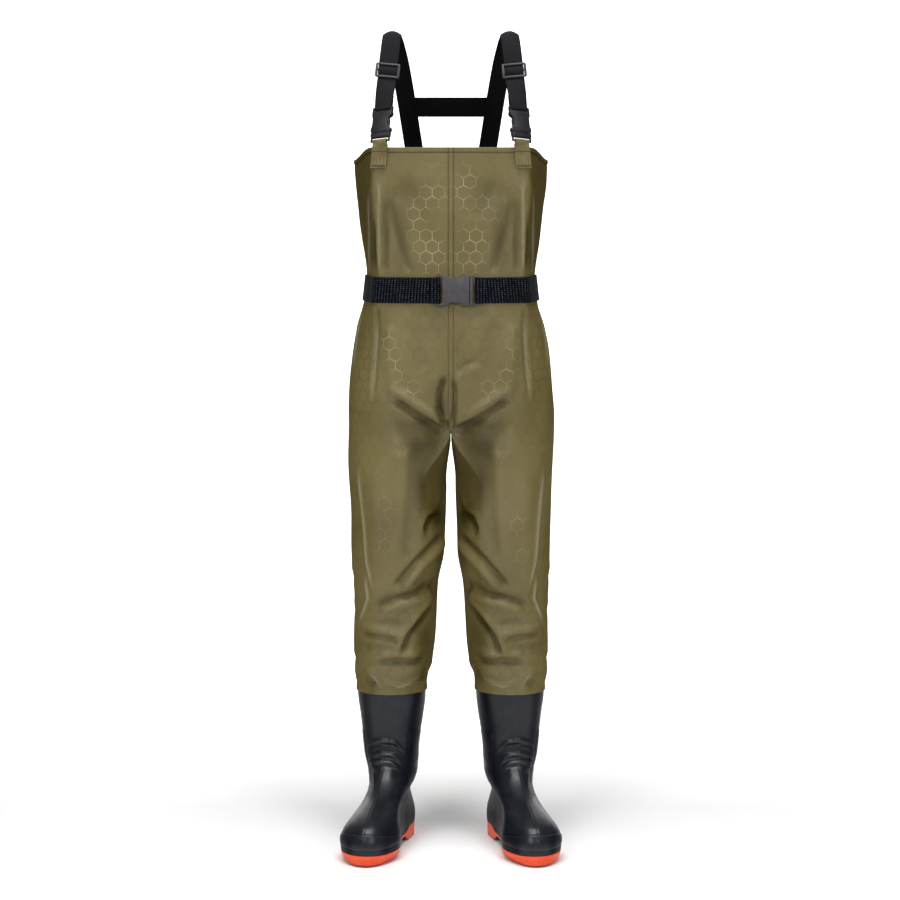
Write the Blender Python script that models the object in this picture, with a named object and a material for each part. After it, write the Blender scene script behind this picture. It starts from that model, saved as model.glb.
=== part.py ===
"""Chest waders: bib and trousers, boots with soles, belt and suspenders.

Metres, +Z up, front faces -Y, the wearer's left is +X. Both soles stand on
z = 0. Every form is worked out from the named sizes and the short tables.
"""
import math

import bpy
import bmesh
from mathutils import Vector

for _ob in list(bpy.data.objects):
    bpy.data.objects.remove(_ob, do_unlink=True)

MM = 0.001

# ---------------------------------------------------------------- sizes
WALL_CLOTH = 1.0 * MM          # coated nylon, both faces
WALL_BOOT = 2.5 * MM           # moulded boot wall
GAP = 0.35 * MM                # clearance between neighbouring pieces

TORSO_HALF_POINTS = 16         # points from front centre to back centre
CROTCH_POINTS = 7              # points along the crotch line
CORNER_STEP = 6                # ring step of the bib's front fold
SIDE_STEP = 10                 # ring step of the widest point at the side

Z_TOP_FRONT = 1249 * MM
Z_TOP_SIDE = 1227 * MM
Z_TOP_BACK = 1196 * MM
Z_TOP_BEND = 1090 * MM         # the top edge's slope fades out at this height
Z_CROTCH = 752 * MM
CROTCH_SAG = 12 * MM
Z_LEG_FULL = 655 * MM          # leg section is fully round below this
Z_HEM = 274 * MM               # leg hem, glued on the boot shaft
Z_SHAFT_TOP = 300 * MM         # top of the boot, inside the leg

FOOT_LENGTH = 300 * MM
BOOT_AXIS_X = 107 * MM         # shaft centre from the middle of the garment
BOOT_AXIS_T = 59.5 * MM        # shaft centre from the back of the heel
TOE_OUT = math.radians(12.0)

BELT_Z0, BELT_Z1 = 977.5 * MM, 1022.5 * MM
BELT_THICK = 2.0 * MM
WEB_WIDTH = 33 * MM
WEB_THICK = 1.6 * MM
TAB_WIDTH = 27 * MM
TAB_THICK = 1.2 * MM


# ---------------------------------------------------------------- tables
class Table:
    """Rows with named columns; smooth reading between the rows."""

    def __init__(self, columns, rows, unit=MM):
        self.columns = columns
        self.key = [r[0] * unit for r in rows]
        self.data = {c: [r[i] * unit for r in rows] for i, c in enumerate(columns)}

    def at(self, column, x):
        xs, ys = self.key, self.data[column]
        if x <= xs[0]:
            return ys[0]
        if x >= xs[-1]:
            return ys[-1]
        k = 0
        while xs[k + 1] < x:
            k += 1
        slopes = [(ys[i + 1] - ys[i]) / (xs[i + 1] - xs[i]) for i in range(len(xs) - 1)]

        def tangent(i):
            if i == 0:
                return slopes[0]
            if i == len(xs) - 1:
                return slopes[-1]
            a, b = slopes[i - 1], slopes[i]
            return 0.0 if a * b <= 0 else 2 * a * b / (a + b)
        h = xs[k + 1] - xs[k]
        s = (x - xs[k]) / h
        m0, m1 = tangent(k) * h, tangent(k + 1) * h
        return ((2 * s ** 3 - 3 * s ** 2 + 1) * ys[k] + (s ** 3 - 2 * s ** 2 + s) * m0
                + (-2 * s ** 3 + 3 * s ** 2) * ys[k + 1] + (s ** 3 - s ** 2) * m1)


# sections of bib and hips, mm and thousandths
TORSO = Table(
    ("z", "half_width", "front", "back", "fold", "corner_x", "side_y", "cleft"),
    [
        (752, 185.5, 117, 126, 30, 128, 5, 330),
        (780, 186.3, 119, 129, 50, 128, 5, 130),
        (823, 185.5, 121, 130, 120, 129, 8, 40),
        (877, 182.5, 121, 127, 250, 130, 10, 10),
        (930, 174.0, 119, 121, 450, 130, 12, 0),
        (972, 160.5, 116, 115, 700, 128, 14, 0),
        (1020, 153.5, 115, 113, 800, 127, 16, 0),
        (1093, 161.0, 117, 116, 930, 133, 18, 0),
        (1147, 166.5, 118, 117, 1000, 137, 20, 0),
        (1200, 172.5, 118, 117, 1000, 139, 22, 0),
        (1249, 174.0, 118, 116, 1000, 139, 24, 0),
    ])

# leg sections, mm
LEG = Table(
    ("z", "inner_x", "outer_x", "front", "back"),
    [
        (330, 33, 173.0, 78, 77),
        (365, 29, 175.0, 83, 81),
        (420, 25, 175.0, 88, 85),
        (470, 22, 177.0, 92, 89),
        (530, 11, 179.0, 97, 95),
        (600, 9, 180.5, 102, 101),
        (655, 9, 182.5, 107, 108),
        (752, 2, 185.0, 112, 118),
    ])

# plan of the last and sole, by turning angle from heel (0) to toe (180), mm
PLAN = Table(
    ("angle", "half_width", "centre"),
    [
        (0, 0, 0), (15, 20.5, 0), (30, 32.0, 0), (45, 36.8, 0), (60, 37.0, 1),
        (75, 36.0, 2), (90, 38.8, 2.2), (105, 47.5, 2.5), (120, 51.5, 1),
        (135, 45.5, 0.5), (150, 33.5, -1.5), (165, 17.8, -3), (180, 0, -4),
    ])

# boot upper rings, mm: back and front end of each ring, its half width,
# how much of it is foot plan (1000) or shaft oval (0), how much narrower the
# outer side is at its front (thousandths), and its lean to the inner side
# ahead of the heel
UPPER = Table(
    ("ring", "back_t", "back_z", "front_t", "front_z", "half_width", "foot", "slope", "lean"),
    [
        (0, 0.6, 27, 299.0, 20.5, 51.2, 1000, 0, 0),
        (1, -1.5, 42, 300.0, 36, 53.0, 1000, 0, 0),
        (2, -0.5, 55, 296.0, 51, 51.5, 950, 60, 0),
        (3, 1.5, 66, 285.0, 64, 48.0, 850, 160, 0),
        (4, 4.5, 77, 264.0, 75, 44.5, 700, 280, 0),
        (5, 8.0, 88, 233.0, 86, 42.0, 450, 400, 0.5),
        (6, 9.3, 98, 200.0, 97, 41.9, 250, 470, 1.5),
        (7, 9.4, 109, 170.0, 112, 43.4, 100, 420, 3),
        (8, 8.2, 122, 146.0, 130, 45.4, 0, 260, 3),
        (9, 6.6, 142, 131.0, 150, 47.6, 0, 100, 1.5),
        (10, 5.0, 162, 123.0, 168, 48.7, 0, 0, 0.5),
        (11, 1.0, 196, 121.5, 200, 52.3, 0, 0, 0),
        (12, -4.0, 230, 124.0, 232, 57.0, 0, 0, 0),
        (13, -8.0, 262, 127.0, 262, 61.0, 0, 0, 0),
        (14, -9.5, 300, 128.5, 300, 62.5, 0, 0, 0),
    ])
UPPER_RINGS = 15

# sole profile along the foot, mm: top and bottom heights
SOLE = Table(
    ("t", "top", "bottom"),
    [
        (0, 27, 0), (70, 26, 0), (88, 21, 4), (100, 17.5, 11), (135, 17.5, 11),
        (150, 18.5, 4), (165, 19.5, 0), (235, 20, 0), (270, 20, 0.4), (300, 20.5, 2.5),
    ])

# cross grooves of the sole, mm: start, end, depth
GROOVES = [
    dict(start=22, end=27, depth=6), dict(start=44, end=49, depth=6),
    dict(start=176, end=181, depth=5), dict(start=194, end=199, depth=5),
    dict(start=212, end=217, depth=5), dict(start=230, end=235, depth=5),
    dict(start=248, end=253, depth=4.5), dict(start=266, end=271, depth=4),
]


# ---------------------------------------------------------------- helpers
def smooth(e0, e1, x):
    s = min(1.0, max(0.0, (x - e0) / (e1 - e0)))
    return s * s * (3 - 2 * s)


def lerp(a, b, s):
    return a + (b - a) * s


def material(name, rgb, roughness, metallic=0.0):
    m = bpy.data.materials.new(name)
    m.use_nodes = True
    bsdf = m.node_tree.nodes["Principled BSDF"]
    bsdf.inputs["Base Color"].default_value = (*rgb, 1.0)
    bsdf.inputs["Roughness"].default_value = roughness
    bsdf.inputs["Metallic"].default_value = metallic
    m.diffuse_color = (*rgb, 1.0)
    return m


def add_object(name, verts, faces, mat, smooth_shading=True):
    mesh = bpy.data.meshes.new(name)
    mesh.from_pydata([tuple(v) for v in verts], [], faces)
    bm = bmesh.new()
    bm.from_mesh(mesh)
    bmesh.ops.recalc_face_normals(bm, faces=bm.faces)
    bm.to_mesh(mesh)
    bm.free()
    for p in mesh.polygons:
        p.use_smooth = smooth_shading
    ob = bpy.data.objects.new(name, mesh)
    bpy.context.scene.collection.objects.link(ob)
    if mat is not None:
        mesh.materials.append(mat)
    return ob


def thicken(verts, faces, wall):
    """A closed wall inward from an open surface whose faces look outward."""
    normal = [Vector((0, 0, 0)) for _ in verts]
    edges = {}
    for f in faces:
        n = len(f)
        fn = Vector((0, 0, 0))
        for i in range(n):
            fn += verts[f[i]].cross(verts[f[(i + 1) % n]])
            e = (f[i], f[(i + 1) % n])
            edges[e] = edges.get(e, 0) + 1
        fn.normalize()
        for i in range(n):
            a = (verts[f[i - 1]] - verts[f[i]])
            b = (verts[f[(i + 1) % n]] - verts[f[i]])
            if a.length > 1e-9 and b.length > 1e-9:
                normal[f[i]] += fn * a.angle(b)
    count = len(verts)
    inner = [v - nn.normalized() * wall for v, nn in zip(verts, normal)]
    out = list(faces) + [tuple(count + i for i in reversed(f)) for f in faces]
    for a, b in edges:
        if (b, a) not in edges:
            out.append((b, a, count + a, count + b))
    return list(verts) + inner, out


# ---------------------------------------------------------------- body
def torso_point(z, step):
    """Outline point of the bib or hips on the +X half, step 0 front to 16 back."""
    a, front, back = (TORSO.at(c, z) for c in ("half_width", "front", "back"))
    fold = TORSO.at("fold", z) / (1000 * MM)
    cleft = TORSO.at("cleft", z) / (1000 * MM)
    corner_x, side_y = TORSO.at("corner_x", z), TORSO.at("side_y", z)
    angle = math.pi * step / TORSO_HALF_POINTS
    sx, cx = math.sin(angle), math.cos(angle)
    power = 2 / 2.35
    rx = a * abs(sx) ** power
    ry = -(front if cx > 0 else back) * math.copysign(abs(cx) ** power, cx)
    if step <= CORNER_STEP:
        s = step / CORNER_STEP
        fx, fy = corner_x * s, -front + 2 * MM * s * s
    elif step <= SIDE_STEP:
        s = (step - CORNER_STEP) / (SIDE_STEP - CORNER_STEP)
        fx = lerp(corner_x, a, s ** 0.85)
        fy = lerp(-front + 2 * MM, side_y, s)
    else:
        q = 0.5 * math.pi * (step - SIDE_STEP) / (TORSO_HALF_POINTS - SIDE_STEP)
        fx = a * abs(math.cos(q)) ** (2 / 2.6)
        fy = side_y + (back - side_y) * abs(math.sin(q)) ** (2 / 2.6)
    x, y = lerp(rx, fx, fold), lerp(ry, fy, fold)
    y *= 1 - cleft * math.exp(-(x / 0.048) ** 2)
    if step in (0, TORSO_HALF_POINTS):
        x = 0.0
    share = step / TORSO_HALF_POINTS
    edge = lerp(Z_TOP_FRONT, Z_TOP_SIDE, smooth(0.36, 0.62, share))
    edge = lerp(edge, Z_TOP_BACK, smooth(0.62, 1.0, share))
    if z > Z_TOP_BEND:
        z = Z_TOP_BEND + (z - Z_TOP_BEND) / (Z_TOP_FRONT - Z_TOP_BEND) * (edge - Z_TOP_BEND)
    return Vector((x, y, z))


def shaft_oval(z, grow):
    """Half width, half length and centre of the boot shaft at a height."""
    ring = 13 + (z - 262 * MM) / (38 * MM)
    k = ring * MM
    back, front = UPPER.at("back_t", k), UPPER.at("front_t", k)
    return (UPPER.at("half_width", k) + grow, (front - back) / 2 + grow,
            (front + back) / 2 - BOOT_AXIS_T)


LEG_POINTS = TORSO_HALF_POINTS + 1 + CROTCH_POINTS


def leg_point(z, i):
    """Outline point of the +X leg; 0 to 16 round the outside, then the inside."""
    angle = math.radians(-30 + 360 * i / LEG_POINTS)
    seat = smooth(330 * MM, 300 * MM, z) if z < 330 * MM else 0.0
    zz = max(z, 330 * MM)
    x0, x1, f, b = (LEG.at(c, zz) for c in ("inner_x", "outer_x", "front", "back"))
    hw, mid = (x1 - x0) / 2, (x1 + x0) / 2
    sx, cx = math.sin(angle), math.cos(angle)
    power = 2 / 2.2
    free = Vector((mid + hw * math.copysign(abs(sx) ** power, sx),
                   -(f if cx > 0 else b) * math.copysign(abs(cx) ** power, cx), z))
    if z <= 330 * MM:
        ow, ol, oc = shaft_oval(z, WALL_CLOTH + 2 * GAP)
        s, t = ow * sx, oc + ol * cx
        seated = boot_place(s, t + BOOT_AXIS_T, z)
        free = lerp(free, seated, smooth(330 * MM, 300 * MM, z))
    blend = smooth(Z_CROTCH, Z_LEG_FULL, z)
    if blend < 1.0:
        top = crotch_ring_point(i)
        top = Vector((top.x, top.y, z))
        free = lerp(top, free, blend)
    return free


def crotch_ring_point(i):
    if i <= TORSO_HALF_POINTS:
        return torso_point(Z_CROTCH, i)
    u = (i - TORSO_HALF_POINTS) / (CROTCH_POINTS + 1)
    y0, y1 = torso_point(Z_CROTCH, TORSO_HALF_POINTS).y, torso_point(Z_CROTCH, 0).y
    return Vector((0, lerp(y0, y1, u), Z_CROTCH - CROTCH_SAG * math.sin(math.pi * u)))


def boot_place(s, t, z):
    """Boot coordinates (outward, heel to toe, up) into the +X boot's place."""
    d = t - BOOT_AXIS_T
    return Vector((BOOT_AXIS_X + s * math.cos(TOE_OUT) + d * math.sin(TOE_OUT),
                   s * math.sin(TOE_OUT) - d * math.cos(TOE_OUT), z))


TORSO_LEVELS = [z * MM for z in (1249, 1200, 1147, 1093, 1024, 976, 930, 877, 823, 780, 752)]
LEG_LEVELS = [z * MM for z in (712, 685, 630, 575, 520, 470, 420, 370, 330, 300, 274)]


def body_surface():
    verts, faces = [], []
    m, ring_size = TORSO_HALF_POINTS, 2 * TORSO_HALF_POINTS
    for z in TORSO_LEVELS:
        for j in range(ring_size):
            p = torso_point(z, j if j <= m else ring_size - j)
            verts.append(p if j <= m else Vector((-p.x, p.y, p.z)))
    for k in range(len(TORSO_LEVELS) - 1):
        a, b = k * ring_size, (k + 1) * ring_size
        for j in range(ring_size):
            n = (j + 1) % ring_size
            faces.append((a + j, b + j, b + n, a + n))
    last = (len(TORSO_LEVELS) - 1) * ring_size
    crotch = len(verts)
    for i in range(m + 1, LEG_POINTS):
        verts.append(crotch_ring_point(i))
    for side in (1, -1):
        ring = []
        for i in range(LEG_POINTS):
            if i <= m:
                ring.append(last + (i if side > 0 else (ring_size - i) % ring_size))
            else:
                ring.append(crotch + i - m - 1)
        for z in LEG_LEVELS:
            base = len(verts)
            for i in range(LEG_POINTS):
                p = leg_point(z, i)
                verts.append(Vector((side * p.x, p.y, p.z)))
            nxt = [base + i for i in range(LEG_POINTS)]
            for i in range(LEG_POINTS):
                n = (i + 1) % LEG_POINTS
                f = (ring[i], nxt[i], nxt[n], ring[n])
                faces.append(f if side > 0 else tuple(reversed(f)))
            ring = nxt
    return verts, faces


def torso_band_point(z, x_or_step, by_step=True):
    """Point on the faceted body between the two belt rings."""
    lo, hi = 976 * MM, 1024 * MM
    s = (z - lo) / (hi - lo)
    return lerp(torso_point(lo, x_or_step), torso_point(hi, x_or_step), s)


# ---------------------------------------------------------------- boots
def plan(angle):
    k = math.degrees(angle) * MM
    return PLAN.at("half_width", k), PLAN.at("centre", k)


PLAN_MAX = 51.5 * MM
BOOT_POINTS = 24
RIM_T = [lerp(UPPER.at("back_t", 0), UPPER.at("front_t", 0),
              (1 - math.cos(2 * math.pi * k / BOOT_POINTS)) / 2) for k in range(BOOT_POINTS // 2 + 1)]


def sole_top(t):
    """Height of the sole's top, straight between the upper's rim points."""
    if t <= RIM_T[0] or t >= RIM_T[-1]:
        return SOLE.at("top", t)
    k = 0
    while RIM_T[k + 1] < t:
        k += 1
    s = (t - RIM_T[k]) / (RIM_T[k + 1] - RIM_T[k])
    return lerp(SOLE.at("top", RIM_T[k]), SOLE.at("top", RIM_T[k + 1]), s)


def upper_point(ring, angle, side):
    """Boot upper outline: ring number, angle 0 heel to pi toe, side +1 outer."""
    k = ring * MM
    back_t, front_t = UPPER.at("back_t", k), UPPER.at("front_t", k)
    back_z, front_z = UPPER.at("back_z", k), UPPER.at("front_z", k)
    half, foot = UPPER.at("half_width", k), UPPER.at("foot", k) / (1000 * MM)
    u = (1 - math.cos(angle)) / 2
    t = lerp(back_t, front_t, u)
    width, centre = plan(angle)
    w = lerp(half * math.sin(angle), half * width / PLAN_MAX, foot)
    if side > 0:
        w *= 1 - UPPER.at("slope", k) / (1000 * MM) * smooth(0.30, 0.92, u)
    z = lerp(back_z, front_z, u)
    if ring < 1:
        z = lerp(sole_top(t) + GAP, z, ring)
    lean = UPPER.at("lean", k) * smooth(0.12, 0.50, u)
    return boot_place(centre * foot + side * w - lean, t, z)


def ring_angle(i, count):
    """Angle and side of point i round a boot ring; 0 at the heel."""
    a = 2 * math.pi * i / count
    return (a, 1) if a <= math.pi + 1e-9 else (2 * math.pi - a, -1)


def mirrored(points, side):
    return [Vector((side * p.x, p.y, p.z)) for p in points]


def boot_surface(side):
    verts, faces = [], []
    n = BOOT_POINTS
    for r in range(UPPER_RINGS):
        for i in range(n):
            verts.append(upper_point(r, *ring_angle(i, n)))
    for r in range(UPPER_RINGS - 1):
        for i in range(n):
            j = (i + 1) % n
            f = (r * n + i, r * n + j, (r + 1) * n + j, (r + 1) * n + i)
            faces.append(f if side < 0 else tuple(reversed(f)))
    return mirrored(verts, side), faces


def plan_width(t, inset):
    """Outer and inner edge of the sole plan at a distance from the heel."""
    u = min(1.0, max(0.0, (t - inset) / (FOOT_LENGTH - 2 * inset)))
    angle = math.acos(1 - 2 * u)
    w, c = plan(angle)
    w = max(w - inset * math.sin(angle), 0.6 * MM)
    return c + w, c - w


def sole_solid(side):
    stations = []
    ends = [0.4, 2, 6, 12, 34, 60, 72, 80, 88, 100, 117, 135, 150, 158, 165, 187, 205,
            223, 241, 260, 278, 286, 293, 297.5, 299.6]
    for t in sorted(ends + [r / MM for r in RIM_T[1:-1]]):
        g = next((g for g in GROOVES if g["start"] - 1.5 < t < g["end"] + 1.5), None)
        if g is None:
            stations.append((t * MM, 0.0))
        elif g["start"] + 0.8 < t < g["end"] - 0.8:
            stations.append((t * MM, g["depth"] * MM))
    for g in GROOVES:
        d = g["depth"] * MM
        for t, depth in ((g["start"] - 0.6, 0), (g["start"] + 0.6, d),
                         (g["end"] - 0.6, d), (g["end"] + 0.6, 0)):
            stations.append((t * MM, depth))
    stations.sort()
    verts, faces = [], []
    across = (-1.0, -0.5, 0.5, 1.0)
    for t, depth in stations:
        o, i = plan_width(t, 0.0)
        top, bottom = sole_top(t), SOLE.at("bottom", t) + depth
        mid, half = (o + i) / 2, (o - i) / 2
        for a in across:
            verts.append(boot_place(mid + a * half, t, top))
        # the forefoot's edge is rounded like a bowl, the heel's is upright
        bowl = smooth(150 * MM, 225 * MM, t)
        belly = 1.0 - min(lerp(0.7, 4.5, bowl) * MM, 0.10 * half) / half
        tuck = 1.0 - min(lerp(2.0, 13.0, bowl) * MM, 0.30 * half) / half
        waist = lerp(SOLE.at("bottom", t), top, 0.46)
        verts.append(boot_place(mid + half * belly, t, waist))
        for a in reversed(across):
            verts.append(boot_place(mid + a * half * tuck, t, bottom))
        verts.append(boot_place(mid - half * belly, t, waist))
    n = 2 * len(across) + 2
    for k in range(len(stations) - 1):
        for j in range(n):
            m = (j + 1) % n
            faces.append((k * n + j, k * n + m, (k + 1) * n + m, (k + 1) * n + j))
    e = (len(stations) - 1) * n
    faces.append(tuple(reversed(range(n))))
    faces.append(tuple(range(e, e + n)))
    return mirrored(verts, side), faces


INSOLE_THICK = 3.0 * MM
INSOLE_INSET = 7.0 * MM


def insole_solid(side):
    verts, faces = [], []
    tip = INSOLE_INSET + 0.6 * MM
    stations = [tip] + [t for t in RIM_T if tip + 2 * MM < t < FOOT_LENGTH - tip - 2 * MM]
    stations += [FOOT_LENGTH - tip]
    across = (-1.0, -0.4, 0.4, 1.0)
    for t in stations:
        o, i = plan_width(t, INSOLE_INSET)
        mid, half = (o + i) / 2, (o - i) / 2
        low = sole_top(t) + GAP
        for a in across:
            verts.append(boot_place(mid + a * half, t, low + INSOLE_THICK))
        for a in reversed(across):
            verts.append(boot_place(mid + a * half, t, low))
    n = 2 * len(across)
    for k in range(len(stations) - 1):
        for j in range(n):
            m = (j + 1) % n
            faces.append((k * n + j, k * n + m, (k + 1) * n + m, (k + 1) * n + j))
    e = (len(stations) - 1) * n
    for j in range(len(across) - 1):
        faces.append((j, n - 1 - j, n - 2 - j, j + 1))
        faces.append((e + j, e + j + 1, e + n - 2 - j, e + n - 1 - j))
    return mirrored(verts, side), faces


# ---------------------------------------------------------------- webbing
def ribbon(path, width, thick, across, low=None, high=None, skew=False):
    """A flat strip of even thickness along a bent path; across is its width."""
    count = len(path)
    verts, faces = [], []
    for i, p in enumerate(path):
        a = path[max(i - 1, 0)]
        b = path[min(i + 1, count - 1)]
        t0 = (p - a).normalized() if i else (b - p).normalized()
        t1 = (b - p).normalized() if i < count - 1 else t0
        t = (t0 + t1).normalized()
        turn = across[i] if isinstance(across, list) else across
        w = (turn if skew else turn - t * turn.dot(t)).normalized()
        n = t.cross(w).normalized()
        n0 = t0.cross(w).normalized()
        stretch = 1 / max(0.35, n.dot(n0))
        d = n * (thick / 2 * stretch)
        lo = w * (-width / 2) if low is None else low[i] - p
        hi = w * (width / 2) if high is None else high[i] - p
        verts += [p + lo - d, p + hi - d, p + hi + d, p + lo + d]
    for i in range(count - 1):
        a, b = 4 * i, 4 * i + 4
        for j in range(4):
            m = (j + 1) % 4
            faces.append((a + j, a + m, b + m, b + j))
    e = 4 * (count - 1)
    faces += [(3, 2, 1, 0), (e, e + 1, e + 2, e + 3)]
    return verts, faces


def box_verts(frame, lo, hi):
    o, u, v, n = frame
    return [o + u * a + v * b + n * c
            for a in (lo[0], hi[0]) for b in (lo[1], hi[1]) for c in (lo[2], hi[2])]


BOX_FACES = [(0, 1, 3, 2), (4, 6, 7, 5), (0, 4, 5, 1), (2, 3, 7, 6), (0, 2, 6, 4), (1, 5, 7, 3)]


def prism(frame, outline, n0, n1):
    """A plate with the given (u, v) outline between two heights on the normal."""
    o, u, v, n = frame
    k = len(outline)
    verts = [o + u * a + v * b + n * n0 for a, b in outline]
    verts += [o + u * a + v * b + n * n1 for a, b in outline]
    faces = [tuple(reversed(range(k))), tuple(range(k, 2 * k))]
    for i in range(k):
        j = (i + 1) % k
        faces.append((i, j, k + j, k + i))
    return verts, faces


def rod(frame, u_mid, radius, v0, v1):
    """An eight-sided bar along the width."""
    o, u, v, n = frame
    ring = [(u_mid + radius * math.cos(math.pi * (k + 0.5) / 4), radius * math.sin(math.pi * (k + 0.5) / 4))
            for k in range(8)]
    verts = [o + u * a + n * c + v * e for e in (v0, v1) for a, c in ring]
    faces = [tuple(reversed(range(8))), tuple(range(8, 16))]
    faces += [(i, (i + 1) % 8, 8 + (i + 1) % 8, 8 + i) for i in range(8)]
    return verts, faces


def combine(name, solid, steps, mat):
    """Join or cut further solids into the first and keep one plain mesh."""
    ob = add_object(name, *solid, None, False)
    helpers = []
    for i, (operation, verts, faces) in enumerate(steps):
        tool = add_object("%s_tool_%d" % (name, i), verts, faces, None, False)
        mod = ob.modifiers.new("step_%d" % i, "BOOLEAN")
        mod.operation, mod.solver, mod.object = operation, "EXACT", tool
        helpers.append(tool)
    bpy.context.view_layer.update()
    mesh = bpy.data.meshes.new_from_object(
        ob.evaluated_get(bpy.context.evaluated_depsgraph_get()))
    for tool in helpers:
        bpy.data.objects.remove(tool, do_unlink=True)
    bpy.data.objects.remove(ob, do_unlink=True)
    mesh.name = name
    mesh.materials.clear()
    mesh.materials.append(mat)
    done = bpy.data.objects.new(name, mesh)
    bpy.context.scene.collection.objects.link(done)
    return done


def side_release(female_name, male_name, frame, s, mat):
    """A closed side-release buckle; u runs from the female bar to the male bar."""
    half, rail, bar = s["width"] / 2, s["rail"], s["bar"]
    body0, end = bar + s["window"], s["female_len"]
    round_off = 2.0 * MM
    lower = [(body0, -half + round_off), (body0 + round_off, -half),
             (s["notch0"], -half), (s["notch0"] + 3 * MM, -half + s["notch"]),
             (s["notch1"] - 3 * MM, -half + s["notch"]), (s["notch1"], -half),
             (end - round_off, -half), (end, -half + round_off)]
    outline = lower + [(a, -b) for a, b in reversed(lower)]
    bar_n = 1.75 * MM
    joined = [("UNION", *rod(frame, bar / 2, bar_n, 0.6 * MM - half, half - 0.6 * MM))]
    for side in (-1, 1):
        v0, v1 = sorted((side * (half - 0.3 * MM), side * (half - rail)))
        joined.append(("UNION", box_verts(frame, (-0.6 * MM, v0, -bar_n * 1.2),
                                          (body0 + 4 * MM, v1, bar_n * 1.2)), BOX_FACES))
    cav, c0, c1 = s["cavity"], s["cavity_n0"], s["cavity_n1"]
    joined.append(("DIFFERENCE", box_verts(frame, (s["cavity_start"], -cav, c0),
                                           (end + 2 * MM, cav, c1)), BOX_FACES))
    combine(female_name, prism(frame, outline, s["n_back"], s["n_front"]), joined, mat)

    base0 = end + GAP
    base1 = base0 + s["base"]
    last = base1 + s["window"]
    mh = half - 0.8 * MM
    edge = [(base0, -mh), (base1 - round_off, -mh), (base1, -mh + round_off)]
    base = prism(frame, edge + [(a, -b) for a, b in reversed(edge)],
                 s["n_back"] + 0.3 * MM, s["n_front"] - 0.5 * MM)
    joined = [("UNION", *rod(frame, last + bar / 2, bar_n, 0.6 * MM - mh, mh - 0.6 * MM))]
    for side in (-1, 1):
        v0, v1 = sorted((side * (mh - 0.3 * MM), side * (mh - rail)))
        joined.append(("UNION", box_verts(frame, (base1 - 4 * MM, v0, -bar_n * 1.2),
                                          (last + bar + 0.6 * MM, v1, bar_n * 1.2)), BOX_FACES))
        tip, root = s["cavity_start"] + 1.5 * MM, base0 + 2 * MM
        hook0, hook1 = s["notch0"] + 2 * MM, s["notch1"] - 2.5 * MM
        out = cav - 0.4 * MM
        arm = [(root, out - 2.2 * MM), (hook1 + 1.2 * MM, out - 2.2 * MM), (hook1, out),
               (hook0 + 2 * MM, out), (tip, out - 4.5 * MM), (tip, out - 7 * MM),
               (hook0 + 3 * MM, out - 5.5 * MM), (root, out - 5.5 * MM)]
        arm = [(a, side * b) for a, b in arm]
        if side > 0:
            arm.reverse()
        verts, faces = prism(frame, arm, c0 + 0.4 * MM, c1 - 0.4 * MM)
        joined.append(("UNION", verts, faces))
    combine(male_name, base, joined, mat)
    return last + bar / 2


BELT_BUCKLE = dict(width=52 * MM, rail=2.4 * MM, bar=4 * MM, window=6 * MM, female_len=56.5 * MM,
                   base=6 * MM, n_back=-3.6 * MM, n_front=6.2 * MM, cavity=22 * MM,
                   cavity_n0=-1.6 * MM, cavity_n1=4.0 * MM, cavity_start=17 * MM,
                   notch0=20 * MM, notch1=43 * MM, notch=5.5 * MM)
STRAP_BUCKLE = dict(width=39 * MM, rail=2.4 * MM, bar=4 * MM, window=5.5 * MM, female_len=47 * MM,
                    base=7.5 * MM, n_back=-4.4 * MM, n_front=4.8 * MM, cavity=16 * MM,
                    cavity_n0=-2.4 * MM, cavity_n1=2.6 * MM, cavity_start=14 * MM,
                    notch0=17 * MM, notch1=39 * MM, notch=4.6 * MM)
BELT_BUCKLE_X = -24.5 * MM     # outer end of the female half
BAR_RADIUS = 1.75 * MM
LOOP_GAP = 0.4 * MM


def front_y(z, x):
    """Front of the faceted body between the belt rings at |x|."""
    pts = [torso_band_point(z, k) for k in range(CORNER_STEP + 1)]
    for a, b in zip(pts, pts[1:]):
        if a.x <= abs(x) <= b.x:
            return lerp(a.y, b.y, (abs(x) - a.x) / (b.x - a.x))
    return pts[-1].y


BELT_MID = (BELT_Z0 + BELT_Z1) / 2
BELT_LIFT = 3.2 * GAP + BELT_THICK / 2
BELT_LOOP = BAR_RADIUS + LOOP_GAP + BELT_THICK / 2
BELT_BAR_Y = front_y(BELT_MID, 0.0) - 1.0 * MM - BELT_LIFT - BELT_LOOP


def half_circle(centre, radius, start, stop, steps):
    return [(centre[0] + radius * math.cos(lerp(start, stop, k / steps)),
             centre[1] + radius * math.sin(lerp(start, stop, k / steps)))
            for k in range(steps + 1)]


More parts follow.
